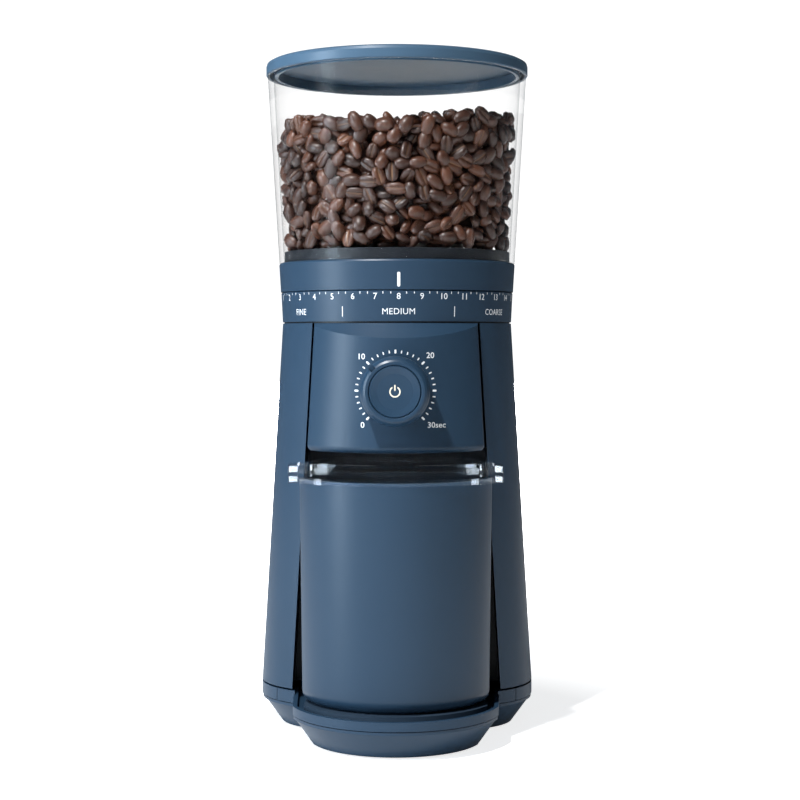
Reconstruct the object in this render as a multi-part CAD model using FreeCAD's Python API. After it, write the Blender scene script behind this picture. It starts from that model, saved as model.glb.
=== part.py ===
import FreeCAD, Part
import math
import os

# Burr coffee grinder with a clear bean hopper on top, a timer dial on the front and a
# grounds container that slides out forwards. Millimetres, +Z up, the front faces -Y.
# All values are taken from the burr axis (X = Y = 0) and the table (Z = 0). Every piece
# is moved by AXIS_Y at the end, so the origin is the middle of the whole object's footprint.

V = FreeCAD.Vector

# ---- Overall sizes ----
BODY_TOP_Z = 252.5        # top edge of the housing
HEAD_R = 72.3             # radius of the housing at its top edge
FOOT_HALF_W = 85.7        # half the width of the housing at its lower edge
FOOT_BACK = 98.0          # burr axis to the back of the housing, at its lower edge
FOOT_FRONT = 47.0         # burr axis to the front line of the side covers, at their lower edge
FOOT_FRONT_R = 48.0       # plan radius of the front corners at the lower edge
FOOT_BACK_R = 52.0        # plan radius of the back corners at the lower edge
HOPPER_H = 117.8          # clear part of the hopper, from the collar to the lid
HOPPER_FLARE = 9.4        # how much wider the hopper's rim is than the head
HOPPER_FOOT_FLARE = 2.2   # how much wider the hopper's foot is than the head

# ---- Walls and clearances ----
WALL = 3.0                # moulded shells
CLEAR_WALL = 3.0          # hopper
SEAM = 0.9                # open line between two fixed shells
RUN = 0.08                # radial clearance of a running fit
GAP = 0.3                 # clearance between pieces that move past each other
LOOSE = 0.6               # clearance of a lift-off or slide-out piece

# ---- Base ----
FOOT_H = 1.2
RUBBER_FOOT_R = 8.0
PAN_TOP_Z = 18.2
PAN_RIM_H = 1.7           # raised rim round the top of the pan
PAN_INSET = 12.5          # how far the pan's sloping side comes in at its bottom
PAN_FLOOR = 2.4
BAND_BOTTOM_Z = 18.7
BAND_TOP_Z = 26.2
HOUSING_BOTTOM_Z = 27.4
PLINTH_TOP_Z = 32.0       # wall of the pan that the housing slides over
BAND_SPLIT_X = 74.3       # joint between the tray's ears and the rear band

# ---- Tray ----
TRAY_FRONT = 120.0
TRAY_SIDE_Y = 74.0        # where the round front meets the sides
TRAY_HALF_W = 61.3        # half width at that place
TRAY_BACK_HALF_W = 64.6
TRAY_BACK_Y = 17.0
TRAY_LIP = 2.6
TRAY_LIP_Z = 24.0
TRAY_FLOOR_Z = 21.0
PAD_TOP_Z = 24.6          # silicone pad that the container stands on, just above the lip

# ---- Bay for the container ----
BAY_TOP_HALF_W = 50.7     # half width of the front opening at the top edge of the housing
BAY_FOOT_HALF_W = 64.2    # and at its lower edge
BAY_BACK_Y = 12.0         # front face of the bay's back wall, ahead of the burr axis
LINER_WALL = 2.4
LINER_SIDE_L = 31.0       # how far its side walls reach forward

# ---- Front panel ----
PANEL_H = 77.5
PANEL_PROUD = 9.0         # how far the panel stands out of the head, at its top
PANEL_LEAN = 4.0          # how much further out its lower edge is
PANEL_TOP_HALF_W = 49.4
PANEL_FOOT_HALF_W = 53.6
PANEL_SIDE_DROP = 26.5    # the middle of the curved face stands this far ahead of its sides
PANEL_SIDE_L = 16.8       # straight sides behind the curved face, at the top
PANEL_CORNER_R = 5.0
PANEL_EDGE_R = 3.8
PANEL_WALL = 2.6
PANEL_BACK_CUT = 1.0      # the panel ends this far ahead of its outline's back

# ---- Scale ring, collar and hopper floor ----
SCALE_H = 18.6
SCALE_FLARE = 0.9         # widening of the scale ring towards its top
SCALE_WEB_W = 11.0        # flange of the scale ring that lies on the deck
COLLAR_H = 18.2
COLLAR_FLARE = 1.0
FLOOR_BAND_H = 7.0        # dark rim of the hopper floor seen through the clear wall
THROAT_R = 18.0
WEB_T = 2.0
HEAP_SIDE = 85.0          # height of the bean heap at the wall, above the collar
HEAP_RISE = 9.0           # how much higher its middle is

# ---- Shut-off gate and turning drive of the hopper ----
GATE_T = 2.0
GATE_OVERLAP = 2.0        # gate's radius beyond the throat
GATE_ARM = 34.0
GATE_SWING = 72.0
PIVOT_R = 3.0
LUG_IN_R = 50.0
LUG_OUT_R = 55.0
LUG_ANGLE = 16.0
LUG_COUNT = 3

# ---- Lid ----
LID_H = 8.4
LID_OVERHANG = 0.9
LID_T = 3.0
LID_RIM_T = 2.0
LID_SKIRT_T = 2.0
NECK_H = 3.4              # hopper rim that enters the lid

# ---- Timer dial and button ----
KNOB_R = 20.5
KNOB_L = 19.8
KNOB_DROP = 40.2          # below the top edge of the housing
BUTTON_R = 15.0
BUTTON_T = 5.5
BUTTON_TRAVEL = 1.8
SLEEVE_R = 12.8
STEM_R = 3.5
BOSS_R = 19.0
POINTER_TURN = -45.0      # the pointer notch stands at 10 seconds
POINTER_W = 3.4
POT_L = 9.5
SWITCH_L = 3.5
BOARD_T = 1.6
BOARD_DEPTH = 18.5        # panel's face to the control board

# ---- Grinding chamber and burrs ----
CHAMBER_R = 44.0
CHAMBER_WALL = 3.0
CHAMBER_FLOOR_DROP = 40.5  # chamber floor's underside, below the top edge of the housing
CHAMBER_RISE = 9.5         # chamber's mouth, above the top edge of the housing
SLEEVE_T = 4.9
BURR_H = 20.0
CONE_TOP_R = 11.0
CONE_FOOT_R = 23.0
BURR_GAP = 1.3
BURR_RING_R = 32.0
RIB_COUNT = 9
CARRIER_TRAVEL = 0.6
SHAFT_R = 4.0
BEARING_R = 8.0
CHAMBER_FLANGE_W = 8.0

# ---- Chute ----
CHUTE_HALF_W = 14.0
CHUTE_DEPTH = 17.0
CHUTE_WALL = 1.8
CHUTE_DROP = 4.0          # below the underside of the head

# ---- Gears: spindle gear, compound idler, rotor pinion ----
MODULE = 1.25
PRESSURE_ANGLE = 20.0
BACKLASH = 0.22
OUTPUT_TEETH = 36
IDLER_SMALL_TEETH = 12
IDLER_LARGE_TEETH = 32
PINION_TEETH = 12
GEAR_T = 8.0
MOTOR_Y = 42.0            # motor axis behind the burr axis
GEARBOX_BACK_ROOM = 8.5   # pinion's pitch circle to the outside of the gearbox

# ---- Motor ----
MOTOR_R = 26.0
MOTOR_L = 84.0
ROTOR_R = 18.0
ROTOR_SHAFT_R = 2.5

# ---- Mains parts ----
INLET_R = 6.5
INLET_Z = 42.0
POWER_BOARD_L = 48.0
POWER_BOARD_ROOM = 10.5   # power board to the pan's back wall
INTERLOCK_W = 10.0
INTERLOCK_D = 5.5
INTERLOCK_H = 5.0

# ---- Container ----
CONTAINER_FRONT = 107.0
CONTAINER_HALF_W = 58.2
CONTAINER_SIDE_Y = 64.0
CONTAINER_BACK_HALF_W = 46.0
CONTAINER_BACK_Y = 17.0
CONTAINER_TAPER = 1.6     # each side is this much further in at the bottom
CONTAINER_WALL = 2.4
CONTAINER_EDGE_R = 8.0
CONTAINER_LID_H = 10.0
LID_HALF_W = 66.0
LID_SIDE_Y = 71.5
LID_EDGE_R = 2.4
HEAD_CLEARANCE = 3.4      # container lid to the chute's mouth and the panel

# ---- Derived heights ----
PANEL_BOTTOM_Z = BODY_TOP_Z - PANEL_H
ROOF_Z = PANEL_BOTTOM_Z + 1.2
ROOF_T = 2.4
CHUTE_BOTTOM_Z = PANEL_BOTTOM_Z - CHUTE_DROP + 2.0
CONTAINER_LID_TOP_Z = PANEL_BOTTOM_Z - 5.6
CONTAINER_TOP_Z = CONTAINER_LID_TOP_Z - CONTAINER_LID_H
SCALE_BOTTOM_Z = BODY_TOP_Z + SEAM
SCALE_TOP_Z = SCALE_BOTTOM_Z + SCALE_H
COLLAR_BOTTOM_Z = SCALE_TOP_Z + GAP
COLLAR_TOP_Z = COLLAR_BOTTOM_Z + COLLAR_H
HOPPER_TOP_Z = COLLAR_TOP_Z + HOPPER_H
LID_TOP_Z = HOPPER_TOP_Z + LID_H
CHAMBER_FLOOR_Z = BODY_TOP_Z - CHAMBER_FLOOR_DROP
CHAMBER_TOP_Z = BODY_TOP_Z + CHAMBER_RISE
DECK_Z = BODY_TOP_Z - 8.5
DECK_T = 4.0
FLANGE_TOP_Z = CHAMBER_TOP_Z + RUN + 4.0
LUG_TOP_Z = COLLAR_BOTTOM_Z - 0.4
BURR_BOTTOM_Z = CHAMBER_FLOOR_Z + 26.0
GEAR_PLATE_T = 3.0
LOWER_PLATE_Z = ROOF_Z + ROOF_T + 0.4
LOW_GEAR_Z = LOWER_PLATE_Z + GEAR_PLATE_T + 2.5
HIGH_GEAR_Z = LOW_GEAR_Z + GEAR_T + 2.0
UPPER_PLATE_Z = HIGH_GEAR_Z + GEAR_T + 2.4
KNOB_Z = BODY_TOP_Z - KNOB_DROP

# ---- Derived places in plan ----
PANEL_FRONT = HEAD_R + PANEL_PROUD
FACE_Y = -(PANEL_FRONT + PANEL_LEAN * KNOB_DROP / PANEL_H)
BOSS_Y = FACE_Y - PANEL_LEAN * KNOB_R / PANEL_H - 0.4
KNOB_BACK_Y = BOSS_Y - GAP
KNOB_FRONT_Y = KNOB_BACK_Y - KNOB_L
BOARD_Y = FACE_Y + BOARD_DEPTH
CHUTE_BACK_Y = -(CHAMBER_R + 0.3)
CHUTE_FRONT_Y = CHUTE_BACK_Y - CHUTE_DEPTH
PANEL_BACK = PANEL_FRONT - PANEL_SIDE_DROP - PANEL_SIDE_L
DECK_R = HEAD_R - WALL - 0.7
DECK_RIM_W = 4.0
INTERLOCK_Y = DECK_R - DECK_RIM_W - GAP - INTERLOCK_D
POWER_BACK = FOOT_BACK - PAN_INSET - WALL - POWER_BOARD_ROOM
GATE_R = THROAT_R + GATE_OVERLAP
AXIS_Y = (TRAY_FRONT - FOOT_BACK) / 2

GEAR_SPAN_1 = MODULE * (OUTPUT_TEETH + IDLER_SMALL_TEETH) / 2
GEAR_SPAN_2 = MODULE * (IDLER_LARGE_TEETH + PINION_TEETH) / 2
IDLER_Y = (GEAR_SPAN_1 ** 2 - GEAR_SPAN_2 ** 2 + MOTOR_Y ** 2) / (2 * MOTOR_Y)
IDLER_X = math.sqrt(GEAR_SPAN_1 ** 2 - IDLER_Y ** 2)
IDLER_AXLE_R = 3.0
GEARBOX_HALF_W = IDLER_X + MODULE * IDLER_LARGE_TEETH / 2 + 7.0
GEARBOX_BACK = MOTOR_Y + MODULE * PINION_TEETH / 2 + GEARBOX_BACK_ROOM

UP = V(0, 0, 1)
ALONG_Y = V(0, 1, 0)


# ---------------------------------------------------------------- shape helpers
def polar(cx, cy, r, degrees, z):
    angle = math.radians(degrees)
    return V(cx + r * math.cos(angle), cy + r * math.sin(angle), z)


def box(x0, x1, y0, y1, z0, z1):
    return Part.makeBox(x1 - x0, y1 - y0, z1 - z0, V(x0, y0, z0))


def disc(r, z0, z1, x=0.0, y=0.0):
    return Part.makeCylinder(r, z1 - z0, V(x, y, z0), UP)


def ring(r_out, r_in, z0, z1, x=0.0, y=0.0):
    return disc(r_out, z0, z1, x, y).cut(disc(r_in, z0 - 1, z1 + 1, x, y))


def rod_y(r, y0, y1, x=0.0, z=0.0):
    return Part.makeCylinder(r, y1 - y0, V(x, y0, z), ALONG_Y)


def turned(profile):
    """Solid of revolution about Z from (radius, height) points."""
    points = [V(r, 0, z) for r, z in profile]
    face = Part.Face(Part.makePolygon(points + points[:1]))
    return face.revolve(V(0, 0, 0), UP, 360)


def turned_on_dial(profile):
    """Solid of revolution about the dial's axis from (radius, Y) points."""
    points = [V(r, y, KNOB_Z) for r, y in profile]
    face = Part.Face(Part.makePolygon(points + points[:1]))
    return face.revolve(V(0, 0, KNOB_Z), ALONG_Y, 360)


def rounded_outline(z, half_w, front, back, r_front, r_back):
    corners = (
        (half_w - r_front, r_front - front, r_front, -90),
        (half_w - r_back, back - r_back, r_back, 0),
        (r_back - half_w, back - r_back, r_back, 90),
        (r_front - half_w, r_front - front, r_front, 180),
    )
    edges = []
    for i, (cx, cy, r, start) in enumerate(corners):
        arc = [polar(cx, cy, r, start + turn, z) for turn in (0, 45, 90)]
        edges.append(Part.Arc(*arc).toShape())
        nx, ny, nr, nstart = corners[(i + 1) % 4]
        edges.append(Part.LineSegment(arc[2], polar(nx, ny, nr, nstart, z)).toShape())
    return Part.Wire(edges)


def arc_front(z, half_w, side_y, front, back_half_w, back_y, waist=None):
    """Outline with a round front; side_y, front and back_y are distances ahead of the axis.
    waist is one more (half width, distance ahead) point on each side."""
    right = [V(half_w, -side_y, z)]
    if waist:
        right.append(V(waist[0], -waist[1], z))
    right.append(V(back_half_w, -back_y, z))
    left = [V(-p.x, p.y, z) for p in reversed(right)]
    points = right + left
    edges = [Part.Arc(left[-1], V(0, -front, z), right[0]).toShape()]
    for a, b in zip(points, points[1:]):
        edges.append(Part.LineSegment(a, b).toShape())
    return Part.Wire(edges)


def loft(*wires):
    return Part.makeLoft(list(wires), True, True)


def upright_edges(shape, y_max=1e6):
    """Edges that join the bottom to the top, ahead of y_max."""
    span = shape.BoundBox.ZLength
    found = []
    for edge in shape.Edges:
        a = edge.Vertexes[0].Point
        b = edge.Vertexes[-1].Point
        if abs(a.z - b.z) > span * 0.6 and max(a.y, b.y) < y_max:
            found.append(edge)
    return found


def edges_at(shape, z):
    return [e for e in shape.Edges if all(abs(v.Point.z - z) < 1e-4 for v in e.Vertexes)]


def mirrored(shape):
    return shape.mirror(V(0, 0, 0), V(1, 0, 0))


def both_sides(shape):
    return Part.makeCompound([shape, mirrored(shape)])


# ---------------------------------------------------------------- housing shells
def body_outline(z, inset=0.0):
    """Outline of the tapered housing at a height; it is straight below the housing."""
    share = min(1.0, max(0.0, (z - HOUSING_BOTTOM_Z) / (BODY_TOP_Z - HOUSING_BOTTOM_Z)))

    def between(foot, top):
        return foot + (top - foot) * share

    return rounded_outline(
        z,
        between(FOOT_HALF_W, HEAD_R) - inset,
        between(FOOT_FRONT, HEAD_R) - inset,
        between(FOOT_BACK, HEAD_R) - inset,
        between(FOOT_FRONT_R, HEAD_R - 0.5) - inset,
        between(FOOT_BACK_R, HEAD_R - 0.5) - inset,
    )


def bay_half_width(z):
    share = (z - HOUSING_BOTTOM_Z) / (BODY_TOP_Z - HOUSING_BOTTOM_Z)
    return BAY_FOOT_HALF_W + (BAY_TOP_HALF_W - BAY_FOOT_HALF_W) * share


def bay_slab(z0, z1, y0, y1, grow=0.0):
    """Tapered block as wide as the bay, from y0 to y1."""
    wires = []
    for z in (z0, z1):
        w = bay_half_width(z) + grow
        corners = [V(-w, y0, z), V(w, y0, z), V(w, y1, z), V(-w, y1, z)]
        wires.append(Part.makePolygon(corners + corners[:1]))
    return loft(*wires)


def rear_housing():
    low, high = HOUSING_BOTTOM_Z, BODY_TOP_Z
    outer = loft(body_outline(low), body_outline(high))
    inner = loft(body_outline(low, WALL), body_outline(high, WALL))
    shell = outer.cut(inner).cut(bay_slab(low - 1, high + 1, -FOOT_FRONT - HEAD_R, -BAY_BACK_Y - 8))
    vents = [box(x - 1.2, x + 1.2, FOOT_BACK - 40, FOOT_BACK + 5, 60, 96) for x in range(-30, 31, 6)]
    shell = shell.cut(Part.makeCompound(vents))
    return shell.cut(rod_y(INLET_R, FOOT_BACK - 20, FOOT_BACK + 5, 0, INLET_Z))


def back_y(z):
    """Outside of the housing's back at a height."""
    share = (z - HOUSING_BOTTOM_Z) / (BODY_TOP_Z - HOUSING_BOTTOM_Z)
    return FOOT_BACK + (HEAD_R - FOOT_BACK) * share


def bay_liner():
    """Back wall and side walls of the bay, trimmed to fit inside the housing."""
    low, high = HOUSING_BOTTOM_Z, PANEL_BOTTOM_Z - 0.2
    front, back = -BAY_BACK_Y - LINER_SIDE_L, -BAY_BACK_Y + LINER_WALL
    outer = bay_slab(low, high, front, back, LINER_WALL + 0.2)
    inner = bay_slab(low - 1, high + 1, front - 1, -BAY_BACK_Y, 0.2)
    inset = WALL + GAP
    inside = loft(body_outline(low, inset), body_outline(high, inset))
    return outer.cut(inner).common(inside)


def panel_form(inset):
    lower = PANEL_FRONT + PANEL_LEAN
    foot = arc_front(PANEL_BOTTOM_Z, PANEL_FOOT_HALF_W - inset, lower - PANEL_SIDE_DROP,
                     lower - inset, PANEL_FOOT_HALF_W - inset, PANEL_BACK)
    top_z = BODY_TOP_Z - 0.2
    top = arc_front(top_z, PANEL_TOP_HALF_W - inset, PANEL_FRONT - PANEL_SIDE_DROP,
                    PANEL_FRONT - inset, PANEL_TOP_HALF_W - inset, PANEL_BACK)
    return loft(foot, top)


def front_panel():
    """Curved panel with a sloping scoop under the scale ring and a flat seat for the dial."""
    form = panel_form(0.0)
    form = form.makeFillet(PANEL_CORNER_R, upright_edges(form, -PANEL_BACK - PANEL_SIDE_L / 4))
    front_low = [e for e in edges_at(form, PANEL_BOTTOM_Z) if e.BoundBox.YMin < -PANEL_BACK - 2]
    form = form.makeFillet(PANEL_EDGE_R, front_low)
    top = BODY_TOP_Z
    depth = PANEL_H + 4
    slope = turned([(0, top), (HEAD_R + 0.3, top), (HEAD_R + 0.3 + depth, top - depth), (0, top - depth)])
    inner_slope = slope.translated(V(0, 0, -PANEL_WALL * 1.4))
    cavity = panel_form(PANEL_WALL).common(inner_slope)
    behind = box(-FOOT_HALF_W, FOOT_HALF_W, -PANEL_BACK - PANEL_BACK_CUT, 0,
                 PANEL_BOTTOM_Z - 1, BODY_TOP_Z + 1)
    shell = form.common(slope).cut(cavity).cut(behind)
    boss = rod_y(BOSS_R, BOSS_Y, FACE_Y + 7.5, 0, KNOB_Z).cut(panel_form(PANEL_WALL))
    shell = shell.fuse(boss)
    under_ring = disc(HEAD_R - 0.4, DECK_Z - GAP, BODY_TOP_Z + 1)
    shell = shell.cut(under_ring)
    return shell.cut(rod_y(SLEEVE_R + 0.5, BOSS_Y - 1, FACE_Y + 9, 0, KNOB_Z))


def head_underside():
    """Dark plate that closes the head above the container, with the chute's hole."""
    lower = PANEL_FRONT + PANEL_LEAN
    inset = PANEL_WALL + 0.3
    outline = [arc_front(z, PANEL_FOOT_HALF_W - inset - 0.6, lower - PANEL_SIDE_DROP - 1,
                         lower - inset - 0.6, PANEL_FOOT_HALF_W - inset - 0.6, BAY_BACK_Y + 0.4)
               for z in (ROOF_Z, ROOF_Z + ROOF_T)]
    hole = box(-CHUTE_HALF_W - 0.2, CHUTE_HALF_W + 0.2, CHUTE_FRONT_Y - 0.2, CHUTE_BACK_Y + 0.2,
               ROOF_Z - 1, ROOF_Z + ROOF_T + 1)
    return loft(*outline).cut(hole)


def top_deck():
    """Deck under the scale ring; its rim ends in a lip that rests on the housing's top edge."""
    plate = ring(DECK_R, CHAMBER_R + 0.2, DECK_Z, DECK_Z + DECK_T)
    rim = ring(DECK_R, DECK_R - DECK_RIM_W, DECK_Z + DECK_T, SCALE_BOTTOM_Z)
    lip = ring(HEAD_R - 0.9, DECK_R - DECK_RIM_W, BODY_TOP_Z, SCALE_BOTTOM_Z)
    return plate.fuse([rim, lip])


def interlock_room(grow):
    """Column that the interlock switch and its plunger stand in."""
    side = INTERLOCK_W / 2 + grow
    return box(-side, side, INTERLOCK_Y - grow, INTERLOCK_Y + INTERLOCK_D + grow,
               DECK_Z + DECK_T, CHAMBER_TOP_Z)


def scale_ring():
    r_low = HEAD_R + 0.1
    r_high = r_low + SCALE_FLARE
    web = 2.4
    web_in = HEAD_R - SCALE_WEB_W
    body = turned([
        (r_low, SCALE_BOTTOM_Z), (r_high, SCALE_TOP_Z - 0.6), (r_high - 0.6, SCALE_TOP_Z),
        (r_high - WALL, SCALE_TOP_Z), (r_low - WALL, SCALE_BOTTOM_Z + web),
        (web_in, SCALE_BOTTOM_Z + web), (web_in, SCALE_BOTTOM_Z),
    ])
    return body.cut(interlock_room(GAP))


# ---------------------------------------------------------------- base
def tray_outline(z, inset=0.0):
    return arc_front(z, TRAY_HALF_W - inset, TRAY_SIDE_Y, TRAY_FRONT - inset,
                     TRAY_BACK_HALF_W - inset, TRAY_BACK_Y)


def tray_prism(z0, z1, inset=0.0):
    return loft(tray_outline(z0, inset), tray_outline(z1, inset))


def band_ring(z0, z1, inset, wall):
    outer = loft(rounded_foot(z0, inset), rounded_foot(z1, inset))
    return outer.cut(loft(rounded_foot(z0 - 1, inset + wall), rounded_foot(z1 + 1, inset + wall)))


def rounded_foot(z, inset):
    return rounded_outline(z, FOOT_HALF_W - inset, FOOT_FRONT - inset, FOOT_BACK - inset,
                           FOOT_FRONT_R - inset, FOOT_BACK_R - inset)


def base_pan():
    """Sloping pan under the housing and the tray, with the wall that the housing slides over."""
    def skirt(outline):
        rim_z = PAN_TOP_Z - PAN_RIM_H
        side = loft(outline(FOOT_H, PAN_INSET), outline(rim_z, 1.4))
        return side.fuse(loft(outline(rim_z, 0.5), outline(PAN_TOP_Z, 0.4)))

    solid = skirt(rounded_foot).fuse(skirt(tray_outline))
    floor_z = FOOT_H + PAN_FLOOR
    open_z = PAN_TOP_Z + 1
    well_front = loft(tray_outline(floor_z, PAN_INSET + WALL), tray_outline(open_z, WALL + 1))
    well_back = loft(rounded_foot(floor_z, PAN_INSET + WALL), rounded_foot(open_z, WALL + 4))
    pan = solid.cut(well_front).cut(well_back)
    shelf = box(-TRAY_BACK_HALF_W, TRAY_BACK_HALF_W, -BAY_BACK_Y - 4, -BAY_BACK_Y, FOOT_H + 1, PAN_TOP_Z)
    plinth = band_ring(PAN_TOP_Z - 1, PLINTH_TOP_Z, WALL + 0.8, 4.5)
    plinth = plinth.cut(box(-BAND_SPLIT_X, BAND_SPLIT_X, -FOOT_FRONT - 20, -BAY_BACK_Y, PAN_TOP_Z - 2, 60))
    return pan.fuse(shelf).fuse(plinth)


def base_band():
    band = band_ring(BAND_BOTTOM_Z, BAND_TOP_Z, 0.0, WALL)
    return band.cut(box(-BAND_SPLIT_X, BAND_SPLIT_X, -FOOT_FRONT - 20, 0, 0, 60))


def base_tray():
    """Tray with a raised lip and two ears that carry the band's line round the corners."""
    plate = tray_prism(BAND_BOTTOM_Z, TRAY_LIP_Z)
    well = loft(arc_front(TRAY_FLOOR_Z, TRAY_HALF_W - TRAY_LIP, TRAY_SIDE_Y, TRAY_FRONT - TRAY_LIP,
                          TRAY_BACK_HALF_W - TRAY_LIP, TRAY_BACK_Y - 9),
                arc_front(TRAY_LIP_Z + 1, TRAY_HALF_W - TRAY_LIP, TRAY_SIDE_Y, TRAY_FRONT - TRAY_LIP,
                          TRAY_BACK_HALF_W - TRAY_LIP, TRAY_BACK_Y - 9))
    split = BAND_SPLIT_X - 0.3
    ears = band_ring(BAND_BOTTOM_Z, BAND_TOP_Z, 0.0, WALL).common(
        box(-split, split, -FOOT_FRONT - 20, -20, 0, 60))
    ears = ears.cut(tray_prism(BAND_BOTTOM_Z - 1, BAND_TOP_Z + 1, 0.7))
    return plate.cut(well).fuse(ears)


def tray_pad():
    inset = TRAY_LIP + 4
    pad = loft(*[arc_front(z, TRAY_HALF_W - inset, TRAY_SIDE_Y, TRAY_FRONT - inset - 6,
                           TRAY_BACK_HALF_W - inset - 4, TRAY_BACK_Y + 2) for z in (TRAY_FLOOR_Z, PAD_TOP_Z)])
    grooves = [ring(r + 1.2, r, PAD_TOP_Z - 1.0, PAD_TOP_Z + 1, 0, -TRAY_SIDE_Y) for r in (18, 30)]
    return pad.cut(Part.makeCompound(grooves))


def feet_places():
    side = FOOT_HALF_W - PAN_INSET - 16
    back = FOOT_BACK - PAN_INSET - 22
    return [(s * x, y) for s in (-1, 1) for x, y in ((29, -TRAY_FRONT + 40), (side, -4), (side - 10, back))]


def rubber_feet():
    return Part.makeCompound([disc(RUBBER_FOOT_R, 0, FOOT_H, x, y) for x, y in feet_places()])


def base_screws():
    """Four screws driven up through the pan's floor, beside the feet."""
    screws = []
    for x, y in ((-46, POWER_BACK - 6), (46, POWER_BACK - 6), (-58, 20), (58, 20)):
        head = disc(3.5, FOOT_H + PAN_FLOOR, FOOT_H + PAN_FLOOR + 2.2, x, y)
        screws.append(head.fuse(disc(1.6, FOOT_H + PAN_FLOOR, FOOT_H + PAN_FLOOR + 12, x, y)))
    return Part.makeCompound(screws)


# ---------------------------------------------------------------- hopper, collar, lid
def hopper_r(z):
    foot = HEAD_R + HOPPER_FOOT_FLARE
    share = (z - COLLAR_TOP_Z) / HOPPER_H
    return foot + (HOPPER_FLARE - HOPPER_FOOT_FLARE) * share


def bean_hopper():
    low, top = COLLAR_TOP_Z, HOPPER_TOP_Z
    neck_out = hopper_r(top) - 1.4
    neck_in = hopper_r(top) - CLEAR_WALL - 0.6
    return turned([
        (hopper_r(low), low), (hopper_r(top), top), (neck_out, top), (neck_out, top + NECK_H),
        (neck_in, top + NECK_H), (neck_in, top), (hopper_r(low) - CLEAR_WALL, low),
    ])


def collar_outer():
    return HEAD_R + SCALE_FLARE + 0.4


def hopper_collar():
    """Turning collar: outer wall, a web over the burrs and a slotted ring for the drive lugs."""
    r_low = collar_outer()
    r_high = r_low + COLLAR_FLARE
    inner = r_low - WALL
    low = COLLAR_BOTTOM_Z
    wall = turned([
        (r_low, low), (r_high, COLLAR_TOP_Z - 1.2), (r_high - 0.5, COLLAR_TOP_Z - 0.3),
        (r_high - 1.2, COLLAR_TOP_Z), (inner, COLLAR_TOP_Z), (inner, low + WEB_T),
        (THROAT_R, low + WEB_T), (THROAT_R, low), (inner - 2, low),
    ])
    drive = ring(LUG_OUT_R + 2, LUG_IN_R - 2, FLANGE_TOP_Z + 0.5, low + 0.5)
    slots = drive_blocks(LUG_IN_R - LOOSE, LUG_OUT_R + LOOSE, FLANGE_TOP_Z, low, LUG_ANGLE + 1.6)
    return wall.fuse(drive).cut(slots)


def drive_blocks(r_in, r_out, z0, z1, angle):
    """Sectors of a ring, evenly spaced, that carry the turning drive."""
    blocks = []
    for i in range(LUG_COUNT):
        start = 90 + i * 360 / LUG_COUNT - angle / 2
        outer = Part.makeCylinder(r_out, z1 - z0, V(0, 0, z0), UP, angle)
        inner = disc(r_in, z0 - 1, z1 + 1)
        block = outer.cut(inner)
        block.rotate(V(0, 0, 0), UP, start)
        blocks.append(block)
    return Part.makeCompound(blocks)


def hopper_floor():
    """Funnel inside the hopper's foot, ending in the round throat."""
    out = hopper_r(COLLAR_TOP_Z) - CLEAR_WALL - 0.3
    top = COLLAR_TOP_Z + FLOOR_BAND_H
    throat_z = COLLAR_BOTTOM_Z + WEB_T + GATE_T + 2 * GAP
    step = collar_outer() - WALL - 0.3
    return turned([
        (out, COLLAR_TOP_Z + 0.2), (out, top), (out - 2, top), (THROAT_R, throat_z + 3.5),
        (THROAT_R, throat_z), (THROAT_R + 4, throat_z), (step, COLLAR_TOP_Z - 3), (step, COLLAR_TOP_Z + 0.2),
    ])


def hopper_gate():
    """Shut-off plate under the funnel, shown open; it swings on a pin behind the throat."""
    low = COLLAR_BOTTOM_Z + WEB_T + GAP
    angle = -90 + GATE_SWING
    centre = polar(0, GATE_ARM, GATE_ARM, angle, low)
    blade = disc(GATE_R, low, low + GATE_T, centre.x, centre.y)
    blade = blade.common(disc(collar_outer() - WALL - GAP, low, low + GATE_T))
    eye = disc(PIVOT_R + 4, low, low + GATE_T, 0, GATE_ARM)
    arm = box(0, GATE_ARM, -5, 5, low, low + GATE_T)
    arm.rotate(V(0, 0, 0), UP, angle)
    arm.translate(V(0, GATE_ARM, 0))
    return blade.fuse(arm).fuse(eye).cut(disc(PIVOT_R + RUN, low - 1, low + GATE_T + 1, 0, GATE_ARM))


def gate_pin():
    low = COLLAR_BOTTOM_Z + WEB_T
    return disc(PIVOT_R, low, low + GATE_T + 2 * GAP, 0, GATE_ARM)


def coffee_beans():
    """Heap of beans as one plain solid: the bean piece that is seen takes its place."""
    top = COLLAR_TOP_Z + FLOOR_BAND_H
    floor_out = hopper_r(COLLAR_TOP_Z) - CLEAR_WALL - 3.0
    throat_z = COLLAR_BOTTOM_Z + WEB_T + GATE_T + 2 * GAP
    side_z = COLLAR_TOP_Z + HEAP_SIDE
    return turned([
        (0, throat_z + 4.5), (THROAT_R, throat_z + 4.5), (floor_out, top + 0.8),
        (hopper_r(side_z) - CLEAR_WALL - 0.8, side_z), (THROAT_R * 2, side_z + HEAP_RISE),
        (0, side_z + HEAP_RISE),
    ])


def lid_sizes():
    rim_out = hopper_r(HOPPER_TOP_Z) + LID_OVERHANG
    skirt_out = hopper_r(HOPPER_TOP_Z) - CLEAR_WALL - 0.6 - 1.0
    return rim_out, skirt_out


def hopper_lid():
    rim, skirt = lid_sizes()
    low = HOPPER_TOP_Z + 0.1
    under = LID_TOP_Z - LID_T
    edge = 1.6
    return turned([
        (rim - 0.5, low), (rim, low + 0.6), (rim, LID_TOP_Z - edge - 1.2), (rim - 0.5, LID_TOP_Z - 1.2),
        (rim - edge - 0.6, LID_TOP_Z - 0.3), (rim - 4, LID_TOP_Z), (0, LID_TOP_Z), (0, under),
        (skirt - LID_SKIRT_T, under), (skirt - LID_SKIRT_T, low - 0.6), (skirt, low - 0.6), (skirt, under),
        (rim - LID_RIM_T, under), (rim - LID_RIM_T, low),
    ])


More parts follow.
